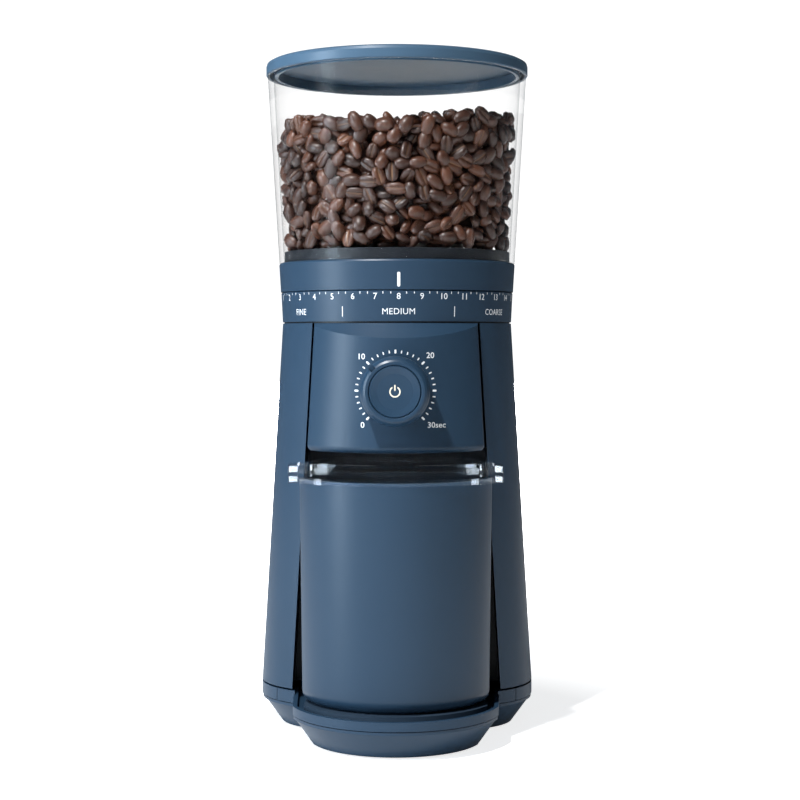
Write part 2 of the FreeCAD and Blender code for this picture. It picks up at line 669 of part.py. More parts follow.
def lid_seal():
    _, skirt = lid_sizes()
    low = HOPPER_TOP_Z + 0.8
    return turned([(skirt, low), (skirt + 0.8, low + 0.4), (skirt + 0.8, low + 1.6), (skirt, low + 2.0)])


# ---------------------------------------------------------------- burrs and chamber
def grinding_chamber():
    """Cup round the burrs, with a flange on the deck and a side outlet to the chute."""
    inner = CHAMBER_R - CHAMBER_WALL
    floor = CHAMBER_FLOOR_Z
    cup = disc(CHAMBER_R, floor, CHAMBER_TOP_Z).cut(disc(inner, floor + 3, CHAMBER_TOP_Z + 1))
    flange = ring(CHAMBER_R + CHAMBER_FLANGE_W, inner, DECK_Z + DECK_T, DECK_Z + DECK_T + 2.5)
    flange = flange.cut(interlock_room(GAP).cut(disc(CHAMBER_R, DECK_Z, CHAMBER_TOP_Z + 1)))
    outlet = box(-11, 11, -CHAMBER_R - 5, -inner + 8, floor + 3, floor + 17)
    return cup.fuse(flange).cut(outlet).cut(disc(BEARING_R, floor - 1, floor + 4))


def adjusting_ring():
    """Sleeve that turns in the chamber's mouth; its lugs are driven by the collar."""
    outer = CHAMBER_R - CHAMBER_WALL - RUN
    inner = outer - SLEEVE_T
    low = CHAMBER_FLOOR_Z + 20
    flange_z = CHAMBER_TOP_Z + RUN
    body = turned([
        (inner, low), (outer, low), (outer, flange_z), (LUG_OUT_R + 3, flange_z),
        (LUG_OUT_R + 3, FLANGE_TOP_Z), (inner, FLANGE_TOP_Z),
    ])
    return body.fuse(drive_blocks(LUG_IN_R, LUG_OUT_R, FLANGE_TOP_Z - 1, LUG_TOP_Z, LUG_ANGLE))


def carrier_r():
    return CHAMBER_R - CHAMBER_WALL - RUN - SLEEVE_T - RUN


def burr_carrier():
    r = carrier_r()
    low = BURR_BOTTOM_Z - 1
    top = BURR_BOTTOM_Z + BURR_H + 4
    return turned([
        (BURR_RING_R, low), (r, low), (r, top), (cone_r(BURR_BOTTOM_Z + BURR_H) + 8, top),
        (cone_r(BURR_BOTTOM_Z + BURR_H) + 5, top - 4), (BURR_RING_R, top - 4),
    ])


def carrier_gasket():
    r = carrier_r()
    top = BURR_BOTTOM_Z + BURR_H + 4
    return ring(r - 0.4, r - 5, top, top + 1.2)


def carrier_spring():
    """Wave spring between the chamber's ledge ring and the burr carrier."""
    low = CHAMBER_FLOOR_Z + 20
    return ring(carrier_r() - 0.3, BURR_RING_R + 0.3, low, BURR_BOTTOM_Z - 1)


def spring_seat():
    """Bayonet ring at the foot of the adjusting sleeve that the wave spring stands on."""
    outer = CHAMBER_R - CHAMBER_WALL - RUN
    low = CHAMBER_FLOOR_Z + 18
    return ring(outer, BURR_RING_R - 1, low, low + 2)


def cone_r(z):
    return CONE_FOOT_R + (CONE_TOP_R - CONE_FOOT_R) * (z - BURR_BOTTOM_Z) / BURR_H


def ring_burr():
    low, top = BURR_BOTTOM_Z, BURR_BOTTOM_Z + BURR_H
    body = turned([
        (cone_r(low) + BURR_GAP, low), (BURR_RING_R, low), (BURR_RING_R, top),
        (cone_r(top) + BURR_GAP + 3, top), (cone_r(low + 6) + BURR_GAP, low + 6),
    ])
    cuts = []
    for i in range(RIB_COUNT * 2):
        groove = box(CONE_TOP_R, CONE_FOOT_R + 3.5, -0.7, 0.7, low - 1, low + 7)
        groove.rotate(V(0, 0, 0), UP, i * 180 / RIB_COUNT)
        cuts.append(groove)
    return body.cut(Part.makeCompound(cuts))


def cone_burr():
    low, top = BURR_BOTTOM_Z, BURR_BOTTOM_Z + BURR_H
    core = turned([
        (SHAFT_R, low), (CONE_FOOT_R, low), (CONE_FOOT_R, low + 1.5), (cone_r(low + 6) - 0.4, low + 6),
        (CONE_TOP_R - 2.5, top), (SHAFT_R, top),
    ])
    cuts = []
    for i in range(RIB_COUNT):
        groove = box(CONE_TOP_R - 3, CONE_FOOT_R + 2, -1.1, 1.1, low + 7, top + 1)
        groove.rotate(V(0, 0, 0), V(1, 0, 0), 18)
        groove.rotate(V(0, 0, 0), UP, i * 360 / RIB_COUNT)
        cuts.append(groove)
    return core.cut(Part.makeCompound(cuts))


def drive_shaft():
    top = BURR_BOTTOM_Z + BURR_H
    return disc(SHAFT_R, LOWER_PLATE_Z - 2, top)


def burr_bolt():
    top = BURR_BOTTOM_Z + BURR_H
    bolt = disc(CONE_TOP_R - 4, top, top + 4)
    return bolt.makeChamfer(0.8, edges_at(bolt, top + 4))


def sweeper():
    """Hub with three blades that throws the grounds to the outlet."""
    low = CHAMBER_FLOOR_Z + 3.6
    hub = ring(9, SHAFT_R, low, low + 12)
    blades = []
    for i in range(3):
        blade = box(8, CHAMBER_R - CHAMBER_WALL - 0.8, -1.5, 1.5, low, low + 9)
        blade.rotate(V(0, 0, 0), UP, i * 120 + 30)
        blades.append(blade)
    spacer = ring(SHAFT_R + 3, SHAFT_R, low + 12, BURR_BOTTOM_Z)
    return hub.fuse(blades + [spacer])


def shaft_bearings():
    upper = ring(BEARING_R, SHAFT_R + RUN, CHAMBER_FLOOR_Z, CHAMBER_FLOOR_Z + 3)
    lower = ring(BEARING_R, SHAFT_R + RUN, LOWER_PLATE_Z, LOWER_PLATE_Z + GEAR_PLATE_T)
    return Part.makeCompound([upper, lower])


# ---------------------------------------------------------------- chute
def grounds_chute():
    low, high = CHUTE_BOTTOM_Z, CHAMBER_FLOOR_Z + 19
    y0, y1 = CHUTE_FRONT_Y, CHUTE_BACK_Y
    tube = box(-CHUTE_HALF_W, CHUTE_HALF_W, y0, y1, low, high)
    bore = box(-CHUTE_HALF_W + CHUTE_WALL, CHUTE_HALF_W - CHUTE_WALL, y0 + CHUTE_WALL, y1 - CHUTE_WALL,
               low - 1, high - CHUTE_WALL)
    window = box(-11, 11, y1 - CHUTE_WALL - 1, y1 + 1, CHAMBER_FLOOR_Z + 3, CHAMBER_FLOOR_Z + 17)
    return tube.cut(bore).cut(window)


def chute_flap():
    """Thin rubber flap across part of the outlet that calms the grounds."""
    y1 = CHUTE_BACK_Y - CHUTE_WALL
    return box(-10, 10, y1 - 1.0, y1, CHAMBER_FLOOR_Z + 9, CHAMBER_FLOOR_Z + 17.2)


# ---------------------------------------------------------------- gears
def involute(base_r, r):
    """Polar angle of the involute of base_r where it reaches radius r."""
    a = math.acos(min(1.0, base_r / r))
    return math.tan(a) - a


def gear(teeth, bore, z0, z1, turn):
    """Spur gear with involute flanks; a tooth points along +X turned by turn degrees."""
    pitch_r = MODULE * teeth / 2
    base_r = pitch_r * math.cos(math.radians(PRESSURE_ANGLE))
    tip_r = pitch_r + 0.9 * MODULE
    root_r = pitch_r - 1.2 * MODULE
    start_r = max(base_r, root_r + 0.05)
    half = math.pi / (2 * teeth) - BACKLASH / (2 * pitch_r) + involute(base_r, pitch_r)
    pitch = 2 * math.pi / teeth
    edges = []

    def at(r, angle):
        return V(r * math.cos(angle), r * math.sin(angle), z0)

    for i in range(teeth):
        middle = i * pitch + math.radians(turn)
        radii = (start_r, (start_r + tip_r) / 2, tip_r)
        right = [at(r, middle - half + involute(base_r, r)) for r in radii]
        left = [at(r, middle + half - involute(base_r, r)) for r in reversed(radii)]
        foot_right = at(root_r, middle - half)
        foot_left = at(root_r, middle + half)
        next_foot = at(root_r, middle + pitch - half)
        edges.append(Part.LineSegment(foot_right, right[0]).toShape())
        edges.append(Part.Arc(*right).toShape())
        edges.append(Part.Arc(right[2], at(tip_r, middle), left[0]).toShape())
        edges.append(Part.Arc(*left).toShape())
        edges.append(Part.LineSegment(left[2], foot_left).toShape())
        edges.append(Part.Arc(foot_left, at(root_r, middle + pitch / 2), next_foot).toShape())
    blank = Part.Face(Part.Wire(edges)).extrude(V(0, 0, z1 - z0))
    if bore:
        blank = blank.cut(disc(bore, z0 - 1, z1 + 1))
    return blank


def mesh_turn(teeth, other_teeth, other_turn, angle):
    """Turn that puts a gap of this gear on a tooth of the other, which lies at angle."""
    back = angle + 180
    phase = (back - other_turn) * other_teeth / 360
    return angle - (0.5 - phase) * 360 / teeth


def output_gear():
    body = gear(OUTPUT_TEETH, SHAFT_R, HIGH_GEAR_Z, HIGH_GEAR_Z + GEAR_T, 0)
    return body.fuse(ring(SHAFT_R + 4, SHAFT_R, HIGH_GEAR_Z - 4, HIGH_GEAR_Z))


def idler_turn():
    angle = math.degrees(math.atan2(-IDLER_Y, -IDLER_X))
    return mesh_turn(IDLER_SMALL_TEETH, OUTPUT_TEETH, 0, angle)


def idler_gear():
    turn = idler_turn()
    bore = IDLER_AXLE_R + RUN
    large = gear(IDLER_LARGE_TEETH, bore, LOW_GEAR_Z, LOW_GEAR_Z + GEAR_T, turn)
    small = gear(IDLER_SMALL_TEETH, bore, LOW_GEAR_Z + GEAR_T, HIGH_GEAR_Z + GEAR_T, turn)
    both = large.fuse(small)
    both.translate(V(IDLER_X, IDLER_Y, 0))
    return both


def idler_axle():
    return disc(IDLER_AXLE_R, LOWER_PLATE_Z, UPPER_PLATE_Z + GEAR_PLATE_T, IDLER_X, IDLER_Y)


def rotor_pinion():
    angle = math.degrees(math.atan2(IDLER_Y - MOTOR_Y, IDLER_X))
    turn = mesh_turn(PINION_TEETH, IDLER_LARGE_TEETH, idler_turn(), angle)
    pinion = gear(PINION_TEETH, ROTOR_SHAFT_R, LOW_GEAR_Z - 0.5, LOW_GEAR_Z + GEAR_T + 0.5, turn)
    pinion.translate(V(0, MOTOR_Y, 0))
    return pinion


def gear_plate(z0, z1):
    """Plate round both axes of the gear train."""
    plan = rounded_outline(z0, GEARBOX_HALF_W, 28, GEARBOX_BACK, 12, 12)
    return Part.Face(plan).extrude(V(0, 0, z1 - z0))


def gearbox_lower():
    plate = gear_plate(LOWER_PLATE_Z, LOWER_PLATE_Z + GEAR_PLATE_T)
    holes = [
        disc(BEARING_R, 0, 400),
        disc(IDLER_AXLE_R, 0, 400, IDLER_X, IDLER_Y),
        disc(8, 0, 400, 0, MOTOR_Y),
    ]
    return plate.cut(Part.makeCompound(holes))


def gearbox_upper():
    """Cover plate on a wall that rests on the lower plate."""
    low = LOWER_PLATE_Z + GEAR_PLATE_T
    high = UPPER_PLATE_Z + GEAR_PLATE_T
    outer = gear_plate(low, high)
    plan = rounded_outline(low, GEARBOX_HALF_W - 2.5, 25.5, GEARBOX_BACK - 2.5, 9.5, 9.5)
    inner = Part.Face(plan).extrude(V(0, 0, UPPER_PLATE_Z - low))
    holes = [disc(SHAFT_R + 1, 0, 400), disc(IDLER_AXLE_R, 0, 400, IDLER_X, IDLER_Y)]
    return outer.cut(inner).cut(Part.makeCompound(holes))


# ---------------------------------------------------------------- motor
def motor_levels():
    top = LOWER_PLATE_Z - 3.0 - 1.5
    return top - MOTOR_L, top


def motor_can():
    low, top = motor_levels()
    can = disc(MOTOR_R, low, top, 0, MOTOR_Y).cut(disc(MOTOR_R - 2, low - 1, top - 2.5, 0, MOTOR_Y))
    return can.cut(disc(ROTOR_SHAFT_R + RUN, low, top + 1, 0, MOTOR_Y))


def motor_magnets():
    low, top = motor_levels()
    tube = ring(MOTOR_R - 2, ROTOR_R + 0.8, low + 14, top - 12, 0, MOTOR_Y)
    return tube.cut(box(-4, 4, MOTOR_Y - 30, MOTOR_Y + 30, low, top))


def motor_end_cap():
    low, _ = motor_levels()
    cap = disc(MOTOR_R, low - 4, low, 0, MOTOR_Y)
    return cap.cut(disc(ROTOR_SHAFT_R + RUN, low - 5, low + 1, 0, MOTOR_Y))


def motor_rotor():
    low, top = motor_levels()
    core = disc(ROTOR_R, low + 18, top - 16, 0, MOTOR_Y)
    commutator = disc(9, low + 5, low + 15, 0, MOTOR_Y)
    shaft = disc(ROTOR_SHAFT_R, low - 6, LOW_GEAR_Z + GEAR_T + 0.5, 0, MOTOR_Y)
    slots = []
    for i in range(8):
        slot = box(ROTOR_R - 5, ROTOR_R + 1, -1.2, 1.2, low, top)
        slot.rotate(V(0, 0, 0), UP, i * 45)
        slot.translate(V(0, MOTOR_Y, 0))
        slots.append(slot)
    return core.cut(Part.makeCompound(slots)).fuse([commutator, shaft])


def motor_bracket():
    top = LOWER_PLATE_Z
    plate = box(-34, 34, MOTOR_Y - 28, MOTOR_Y + 24, top - 3, top)
    return plate.cut(disc(8, top - 4, top + 1, 0, MOTOR_Y))


def motor_isolators():
    top = LOWER_PLATE_Z - 3
    places = [polar(0, MOTOR_Y, 17, a, 0) for a in (45, 135, 225, 315)]
    return Part.makeCompound([ring(5, 2, top - 1.5, top, p.x, p.y) for p in places])


# ---------------------------------------------------------------- timer dial and electrics
def timer_knob():
    back, front = KNOB_BACK_Y, KNOB_FRONT_Y
    bore = BUTTON_R + GAP
    web_y = front + BUTTON_T + BUTTON_TRAVEL + 5.5
    knob = turned_on_dial([
        (KNOB_R, back), (KNOB_R, front + 4.2), (KNOB_R - 0.7, front + 2.6), (KNOB_R - 2.0, front + 0.7),
        (KNOB_R - 3.2, front), (bore + 0.5, front), (bore, front + 0.5), (bore, web_y),
        (SLEEVE_R - 2.4, web_y), (SLEEVE_R - 2.4, BOARD_Y - 4), (SLEEVE_R, BOARD_Y - 4),
        (SLEEVE_R, web_y + 2.4), (KNOB_R - 2.6, web_y + 2.4), (KNOB_R - 2.6, back),
    ])
    half = POINTER_W / 2
    mark = box(-half, half, front - 1, front + 4.2, KNOB_Z + KNOB_R - 3.0, KNOB_Z + KNOB_R + 1)
    mark.rotate(V(0, 0, KNOB_Z), ALONG_Y, POINTER_TURN)
    return knob.cut(mark)


def start_button():
    front = KNOB_FRONT_Y
    stem_end = BOARD_Y - SWITCH_L - BUTTON_TRAVEL - 0.3
    return turned_on_dial([
        (0, front + 0.9), (BUTTON_R - 4.5, front + 0.55), (BUTTON_R - 1.2, front + 0.1),
        (BUTTON_R - 0.5, front), (BUTTON_R, front + 0.6), (BUTTON_R, front + BUTTON_T),
        (STEM_R, front + BUTTON_T), (STEM_R, stem_end), (0, stem_end),
    ])


def button_spring():
    """Rubber bellows that lifts the button off its switch."""
    front = KNOB_FRONT_Y + BUTTON_T
    back = front + BUTTON_TRAVEL + 5.5
    middle = (front + back) / 2
    return turned_on_dial([
        (11.6, back), (13.4, back), (9.8, middle), (12.0, front), (10.4, front), (8.4, middle),
    ])


def timer_pot():
    ring_out = rod_y(SLEEVE_R + 4, BOARD_Y - POT_L, BOARD_Y, 0, KNOB_Z)
    return ring_out.cut(rod_y(SLEEVE_R + GAP, BOARD_Y - POT_L - 1, BOARD_Y + 1, 0, KNOB_Z))


def start_switch():
    return rod_y(4.0, BOARD_Y - SWITCH_L, BOARD_Y, 0, KNOB_Z)


def control_board():
    return box(-28, 28, BOARD_Y, BOARD_Y + BOARD_T, PANEL_BOTTOM_Z + 9, BODY_TOP_Z - 12)


def power_board():
    low = FOOT_H + PAN_FLOOR + 5
    front = POWER_BACK - POWER_BOARD_L
    top = low + BOARD_T
    board = box(-34, 34, front, POWER_BACK, low, top)
    parts = [disc(8, top, low + 22, -20, front + 16), box(4, 26, front + 10, front + 32, top, low + 20)]
    places = [(side * 28, y) for side in (-1, 1) for y in (front + 6, POWER_BACK - 6)]
    posts = [disc(3, FOOT_H + PAN_FLOOR, low, x, y) for x, y in places]
    return board.fuse(parts + posts)


def interlock_switch():
    """Small switch on the deck that the hopper's collar presses."""
    low = DECK_Z + DECK_T
    return interlock_room(0.0).common(disc(HEAD_R, low, low + INTERLOCK_H))


def motor_leads():
    """Loom from the power board, up behind the bay, over to the motor's end cap."""
    low, _ = motor_levels()
    x = -20.0
    bend = 9.0
    z_top = low - 16
    y0, y1 = POWER_BACK - POWER_BOARD_L + 6, MOTOR_Y
    start_z = FOOT_H + PAN_FLOOR + 6.6 + 20.4
    a = V(x, y0, start_z)
    b = V(x, y0, z_top - bend)
    c = V(x + bend, y0 + 0, z_top)
    mid = V(x + bend * (1 - math.sqrt(0.5)), y0, z_top - bend * (1 - math.sqrt(0.5)))
    d = V(-6, y0, z_top)
    path = Part.Wire([Part.LineSegment(a, b).toShape(), Part.Arc(b, mid, c).toShape(),
                      Part.LineSegment(c, d).toShape()])
    section = Part.Wire([Part.Circle(a, UP, 2.2).toShape()])
    loom = path.makePipeShell([section], True, False)
    plug = box(-8, 8, y0 - 5, y1 - 4, z_top - 5, low - 4)
    return loom.fuse(plug)


def cord_inlet():
    """Strain relief socket in the back of the housing."""
    outside = back_y(INLET_Z)
    tube = rod_y(INLET_R - 0.1, outside - 14, outside + 0.6, 0, INLET_Z)
    flange = rod_y(INLET_R + 2.5, outside - 14, outside - 9, 0, INLET_Z)
    return tube.fuse(flange).cut(rod_y(3.4, outside - 20, outside + 5, 0, INLET_Z))


def housing_screws():
    """Screws that hold the deck's flange, heads up."""
    screws = []
    for i in range(4):
        p = polar(0, 0, CHAMBER_R + 5.4, 45 + i * 90, 0)
        z = DECK_Z + DECK_T + 2.5
        head = disc(2.4, z, z + 1.6, p.x, p.y)
        screws.append(head)
    return Part.makeCompound(screws)


# ---------------------------------------------------------------- container
def container_form(z0, z1, inset, taper):
    def plan(z, extra):
        t = inset + extra
        return arc_front(z, CONTAINER_HALF_W - t, CONTAINER_SIDE_Y, CONTAINER_FRONT - t,
                         CONTAINER_BACK_HALF_W - t, CONTAINER_BACK_Y + inset)
    return loft(plan(z0, taper), plan(z1, 0.0))


def grounds_container():
    low, top = PAD_TOP_Z, CONTAINER_TOP_Z
    outer = container_form(low, top, 0.0, CONTAINER_TAPER)
    outer = outer.makeFillet(10.0, upright_edges(outer))
    outer = outer.makeFillet(CONTAINER_EDGE_R, edges_at(outer, low))
    inner = container_form(low + CONTAINER_WALL, top, CONTAINER_WALL, CONTAINER_TAPER)
    inner = inner.makeFillet(10.0 - CONTAINER_WALL, upright_edges(inner))
    inner = inner.makeFillet(CONTAINER_EDGE_R - CONTAINER_WALL, edges_at(inner, low + CONTAINER_WALL))
    return outer.cut(inner)


def container_lid():
    """Clear lid with an overhanging rim, a lifting tab inside the front and the chute's hole."""
    low, top = CONTAINER_TOP_Z, CONTAINER_LID_TOP_Z

    def plan(z, inset):
        return arc_front(z, LID_HALF_W - inset, LID_SIDE_Y, CONTAINER_FRONT + 0.6 - inset,
                         CONTAINER_BACK_HALF_W - inset, CONTAINER_BACK_Y + inset,
                         waist=(54.0 - inset, 60.0))

    outer = loft(plan(low - 2.0, 0), plan(top, 0))
    outer = outer.makeFillet(6.0, [e for e in upright_edges(outer) if e.BoundBox.YMin < -LID_SIDE_Y + 2])
    outer = outer.makeFillet(LID_EDGE_R, edges_at(outer, top))
    hollow = loft(plan(low - 3.0, 2.4), plan(top - 2.4, 2.4))
    under = loft(plan(low - 3.0, 2.4), plan(low + 0.1, 2.4))
    recess = container_form(low - 3.0, low, -LOOSE, 0.0)
    well = loft(plan(top - 6.0, 7.5), plan(top + 1, 7.5))
    floor = loft(plan(top - 8.4, 2.4), plan(top - 6.0, 2.4))
    shell = outer.cut(hollow).fuse(floor).cut(well).cut(under).cut(recess)
    hole = box(-CHUTE_HALF_W - 4, CHUTE_HALF_W + 4, CHUTE_FRONT_Y - 4, CHUTE_BACK_Y + 4, low - 5, top + 5)
    return shell.cut(hole)


PIECES = {
    "base_pan": base_pan,
    "base_tray": base_tray,
    "base_band": base_band,
    "tray_pad": tray_pad,
    "rubber_feet": rubber_feet,
    "base_screws": base_screws,
    "rear_housing": rear_housing,
    "front_panel": front_panel,
    "bay_liner": bay_liner,
    "head_underside": head_underside,
    "top_deck": top_deck,
    "scale_ring": scale_ring,
    "housing_screws": housing_screws,
    "grinding_chamber": grinding_chamber,
    "grounds_chute": grounds_chute,
    "chute_flap": chute_flap,
    "shaft_bearings": shaft_bearings,
    "gearbox_lower": gearbox_lower,
    "gearbox_upper": gearbox_upper,
    "idler_axle": idler_axle,
    "motor_bracket": motor_bracket,
    "motor_isolators": motor_isolators,
    "motor_can": motor_can,
    "motor_magnets": motor_magnets,
    "motor_end_cap": motor_end_cap,
    "motor_leads": motor_leads,
    "control_board": control_board,
    "power_board": power_board,
    "timer_pot": timer_pot,
    "start_switch": start_switch,
    "interlock_switch": interlock_switch,
    "cord_inlet": cord_inlet,
    "adjusting_ring": adjusting_ring,
    "spring_seat": spring_seat,
    "burr_carrier": burr_carrier,
    "ring_burr": ring_burr,
    "carrier_gasket": carrier_gasket,
    "carrier_spring": carrier_spring,
    "drive_shaft": drive_shaft,
    "cone_burr": cone_burr,
    "burr_bolt": burr_bolt,
    "sweeper": sweeper,
    "output_gear": output_gear,
    "idler_gear": idler_gear,
    "motor_rotor": motor_rotor,
    "rotor_pinion": rotor_pinion,
    "bean_hopper": bean_hopper,
    "hopper_collar": hopper_collar,
    "hopper_floor": hopper_floor,
    "gate_pin": gate_pin,
    "coffee_beans": coffee_beans,
    "hopper_gate": hopper_gate,
    "hopper_lid": hopper_lid,
    "lid_seal": lid_seal,
    "timer_knob": timer_knob,
    "start_button": start_button,
    "button_spring": button_spring,
    "grounds_container": grounds_container,
    "container_lid": container_lid,
}


def main():
    os.makedirs("parts", exist_ok=True)
    for name, make in PIECES.items():
        shape = make()
        if not shape.isValid():
            raise ValueError(name + " is not a valid shape")
        shape.translate(V(0, AXIS_Y, 0))
        shape.exportStep("parts/" + name + ".step")
        print(name, len(shape.Solids), round(shape.Volume))


main()
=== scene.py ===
import math

import bmesh
import bpy
import numpy as np
from mathutils import Matrix, Vector
from mathutils.bvhtree import BVHTree

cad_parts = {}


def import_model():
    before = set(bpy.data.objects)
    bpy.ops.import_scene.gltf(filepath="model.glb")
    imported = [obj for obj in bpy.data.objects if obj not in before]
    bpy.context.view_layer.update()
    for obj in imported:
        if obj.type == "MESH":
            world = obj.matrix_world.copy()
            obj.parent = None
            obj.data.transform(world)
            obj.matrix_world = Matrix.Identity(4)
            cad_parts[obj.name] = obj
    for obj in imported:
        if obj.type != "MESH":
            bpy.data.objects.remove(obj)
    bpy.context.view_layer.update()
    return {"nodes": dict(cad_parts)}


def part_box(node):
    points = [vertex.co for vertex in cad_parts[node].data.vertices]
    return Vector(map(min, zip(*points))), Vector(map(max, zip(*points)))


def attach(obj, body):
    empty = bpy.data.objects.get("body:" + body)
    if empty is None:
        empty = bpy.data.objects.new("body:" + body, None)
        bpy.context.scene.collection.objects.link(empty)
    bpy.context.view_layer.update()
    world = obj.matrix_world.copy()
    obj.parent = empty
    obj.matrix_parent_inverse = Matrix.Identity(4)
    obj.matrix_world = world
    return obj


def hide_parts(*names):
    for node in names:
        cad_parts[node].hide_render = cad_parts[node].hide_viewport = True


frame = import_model()

MM = 0.001

# ---------------------------------------------------------------- places from the frame
scale_lo, scale_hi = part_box("scale_ring")
collar_lo, collar_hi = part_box("hopper_collar")
hopper_lo, hopper_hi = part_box("bean_hopper")
knob_lo, knob_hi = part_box("timer_knob")
heap_lo, heap_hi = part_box("coffee_beans")

AXIS = (scale_lo + scale_hi) / 2          # a point on the burr axis
AXIS.z = 0.0
DIAL = Vector((0, knob_lo.y, (knob_lo.z + knob_hi.z) / 2))


# ---------------------------------------------------------------- shader maths
class Value:
    """A node's output, with the arithmetic that the materials use."""

    def __init__(self, shader, socket):
        self.shader = shader
        self.socket = socket

    def math(self, operation, *others):
        values = {i: v for i, v in enumerate((self,) + others)}
        return self.shader.node("Math", {"operation": operation}, values)

    def __add__(self, other):
        return self.math("ADD", other)

    __radd__ = __add__

    def __mul__(self, other):
        return self.math("MULTIPLY", other)

    __rmul__ = __mul__

    def __sub__(self, other):
        return self.math("SUBTRACT", other)

    def __rsub__(self, other):
        return (self * -1.0) + other

    def __pow__(self, other):
        return self.math("POWER", other)


class Shader:
    """A material being built; principled() or surface() finishes it."""

    def __init__(self, name):
        self.material = bpy.data.materials.new(name)
        self.material.use_nodes = True
        self.tree = self.material.node_tree
        self.tree.nodes.clear()

    def node(self, kind, settings=None, inputs=None, output=0):
        made = self.tree.nodes.new("ShaderNode" + kind)
        for key, setting in (settings or {}).items():
            if key == "stops":
                self.set_stops(made.color_ramp, setting)
            else:
                setattr(made, key, setting)
        for key, value in (inputs or {}).items():
            if isinstance(value, Value):
                self.tree.links.new(value.socket, made.inputs[key])
            else:
                made.inputs[key].default_value = value
        return Value(self, made.outputs[output])

    def set_stops(self, ramp, stops):
        while len(ramp.elements) < len(stops):
            ramp.elements.new(0.5)
        for element, (position, colour) in zip(ramp.elements, stops):
            element.position = position
            element.color = colour

    def place(self):
        return self.node("TexCoord", output="Object")

    def noise(self, scale, detail=2.0, stretch=(1, 1, 1)):
        vector = self.node("Mapping", {}, {"Vector": self.place(), "Scale": stretch})
        return self.node("TexNoise", {}, {"Vector": vector, "Scale": scale, "Detail": detail}, "Fac")

    def mix(self, factor, a, b):
        return self.node("Mix", {"data_type": "RGBA"}, {0: factor, 6: a, 7: b}, 2)

    def bump(self, height, strength, distance):
        return self.node("Bump", {}, {"Height": height, "Strength": strength, "Distance": distance})

    def principled(self, **inputs):
        named = {key.replace("_", " "): value for key, value in inputs.items()}
        self.surface(self.node("BsdfPrincipled", {}, named))
        return self.material

    def surface(self, shader):
        output = self.tree.nodes.new("ShaderNodeOutputMaterial")
        self.tree.links.new(shader.socket, output.inputs["Surface"])


def rgb(r, g, b):
    return (r, g, b, 1.0)


SLATE = (0.0165, 0.041, 0.075)
SLATE_WORN = (0.021, 0.048, 0.086)
# The lid's two slates are lighter copies of the body's slate: painted light for the light that the lid's rim
# and underside catch.
PAINTED_LIGHT_LID_SLATE = (0.050, 0.098, 0.155)
PAINTED_LIGHT_LID_SLATE_WORN = (0.060, 0.112, 0.172)
NEAR_BLACK = (0.006, 0.008, 0.012)


def moulded(name, low, high, roughness, grain=1400.0, grain_depth=0.03, coat=0.0, sheen_level=0.32):
    """Fine-grained moulded plastic whose colour and gloss drift a little over the part."""
    s = Shader(name)
    cloud = s.noise(14.0, 3.0)
    grains = s.noise(grain, 1.0)
    streaks = s.noise(90.0, 2.0, (1, 1, 0.15))
    return s.principled(
        Base_Color=s.mix(cloud * 0.8 + grains * 0.2, rgb(*low), rgb(*high)),
        Roughness=roughness + (cloud - 0.5) * 0.08 + (streaks - 0.5) * 0.05,
        Normal=s.bump(grains, grain_depth, 0.0002),
        Coat_Weight=coat,
        Coat_Roughness=0.25,
        Specular_IOR_Level=sheen_level,
        IOR=1.5,
    )


def rubber(name, low, high):
    s = Shader(name)
    cloud = s.noise(60.0, 3.0)
    grains = s.noise(2200.0, 1.0)
    return s.principled(
        Base_Color=s.mix(cloud, rgb(*low), rgb(*high)),
        Roughness=0.62 + cloud * 0.2,
        Normal=s.bump(grains, 0.12, 0.0002),
        IOR=1.4,
    )


def clear_plastic(name, tint, clear_alpha, edge_alpha):
    """Clear moulding: more is seen of its surface towards its edges."""
    s = Shader(name)
    facing = s.node("LayerWeight", {}, {"Blend": 0.25}, "Facing")
    ripple = s.noise(22.0, 1.0)
    return s.principled(
        Base_Color=rgb(*tint),
        Roughness=0.02 + ripple * 0.02,
        Alpha=clear_alpha + (facing ** 3.0) * (edge_alpha - clear_alpha),
        Transmission_Weight=1.0,
        Normal=s.bump(ripple, 0.02, 0.001),
        IOR=1.49,
    )


def metal(name, low, high, roughness, stretch=(1, 1, 12)):
    """Machined or drawn metal with fine lines along one direction."""
    s = Shader(name)
    lines = s.noise(500.0, 2.0, stretch)
    cloud = s.noise(40.0, 3.0)
    return s.principled(
        Base_Color=s.mix(lines * 0.6 + cloud * 0.4, rgb(*low), rgb(*high)),
        Metallic=1.0,
        Roughness=roughness + (lines - 0.5) * 0.2,
        Normal=s.bump(lines, 0.05, 0.0002),
    )


def circuit_board():
    """Green lacquer over tracks, which show as lighter, raised lines along a cell pattern."""
    s = Shader("circuit_board")
    cells = {"Vector": s.place(), "Scale": 160.0}
    tracks = s.node("TexVoronoi", {"feature": "DISTANCE_TO_EDGE"}, cells, "Distance")
    line = tracks.math("LESS_THAN", 0.06)
    return s.principled(
        Base_Color=s.mix(line, rgb(0.012, 0.11, 0.035), rgb(0.03, 0.2, 0.06)),
        Roughness=0.3 + line * 0.1,
        Normal=s.bump(line, 0.2, 0.0002),
    )


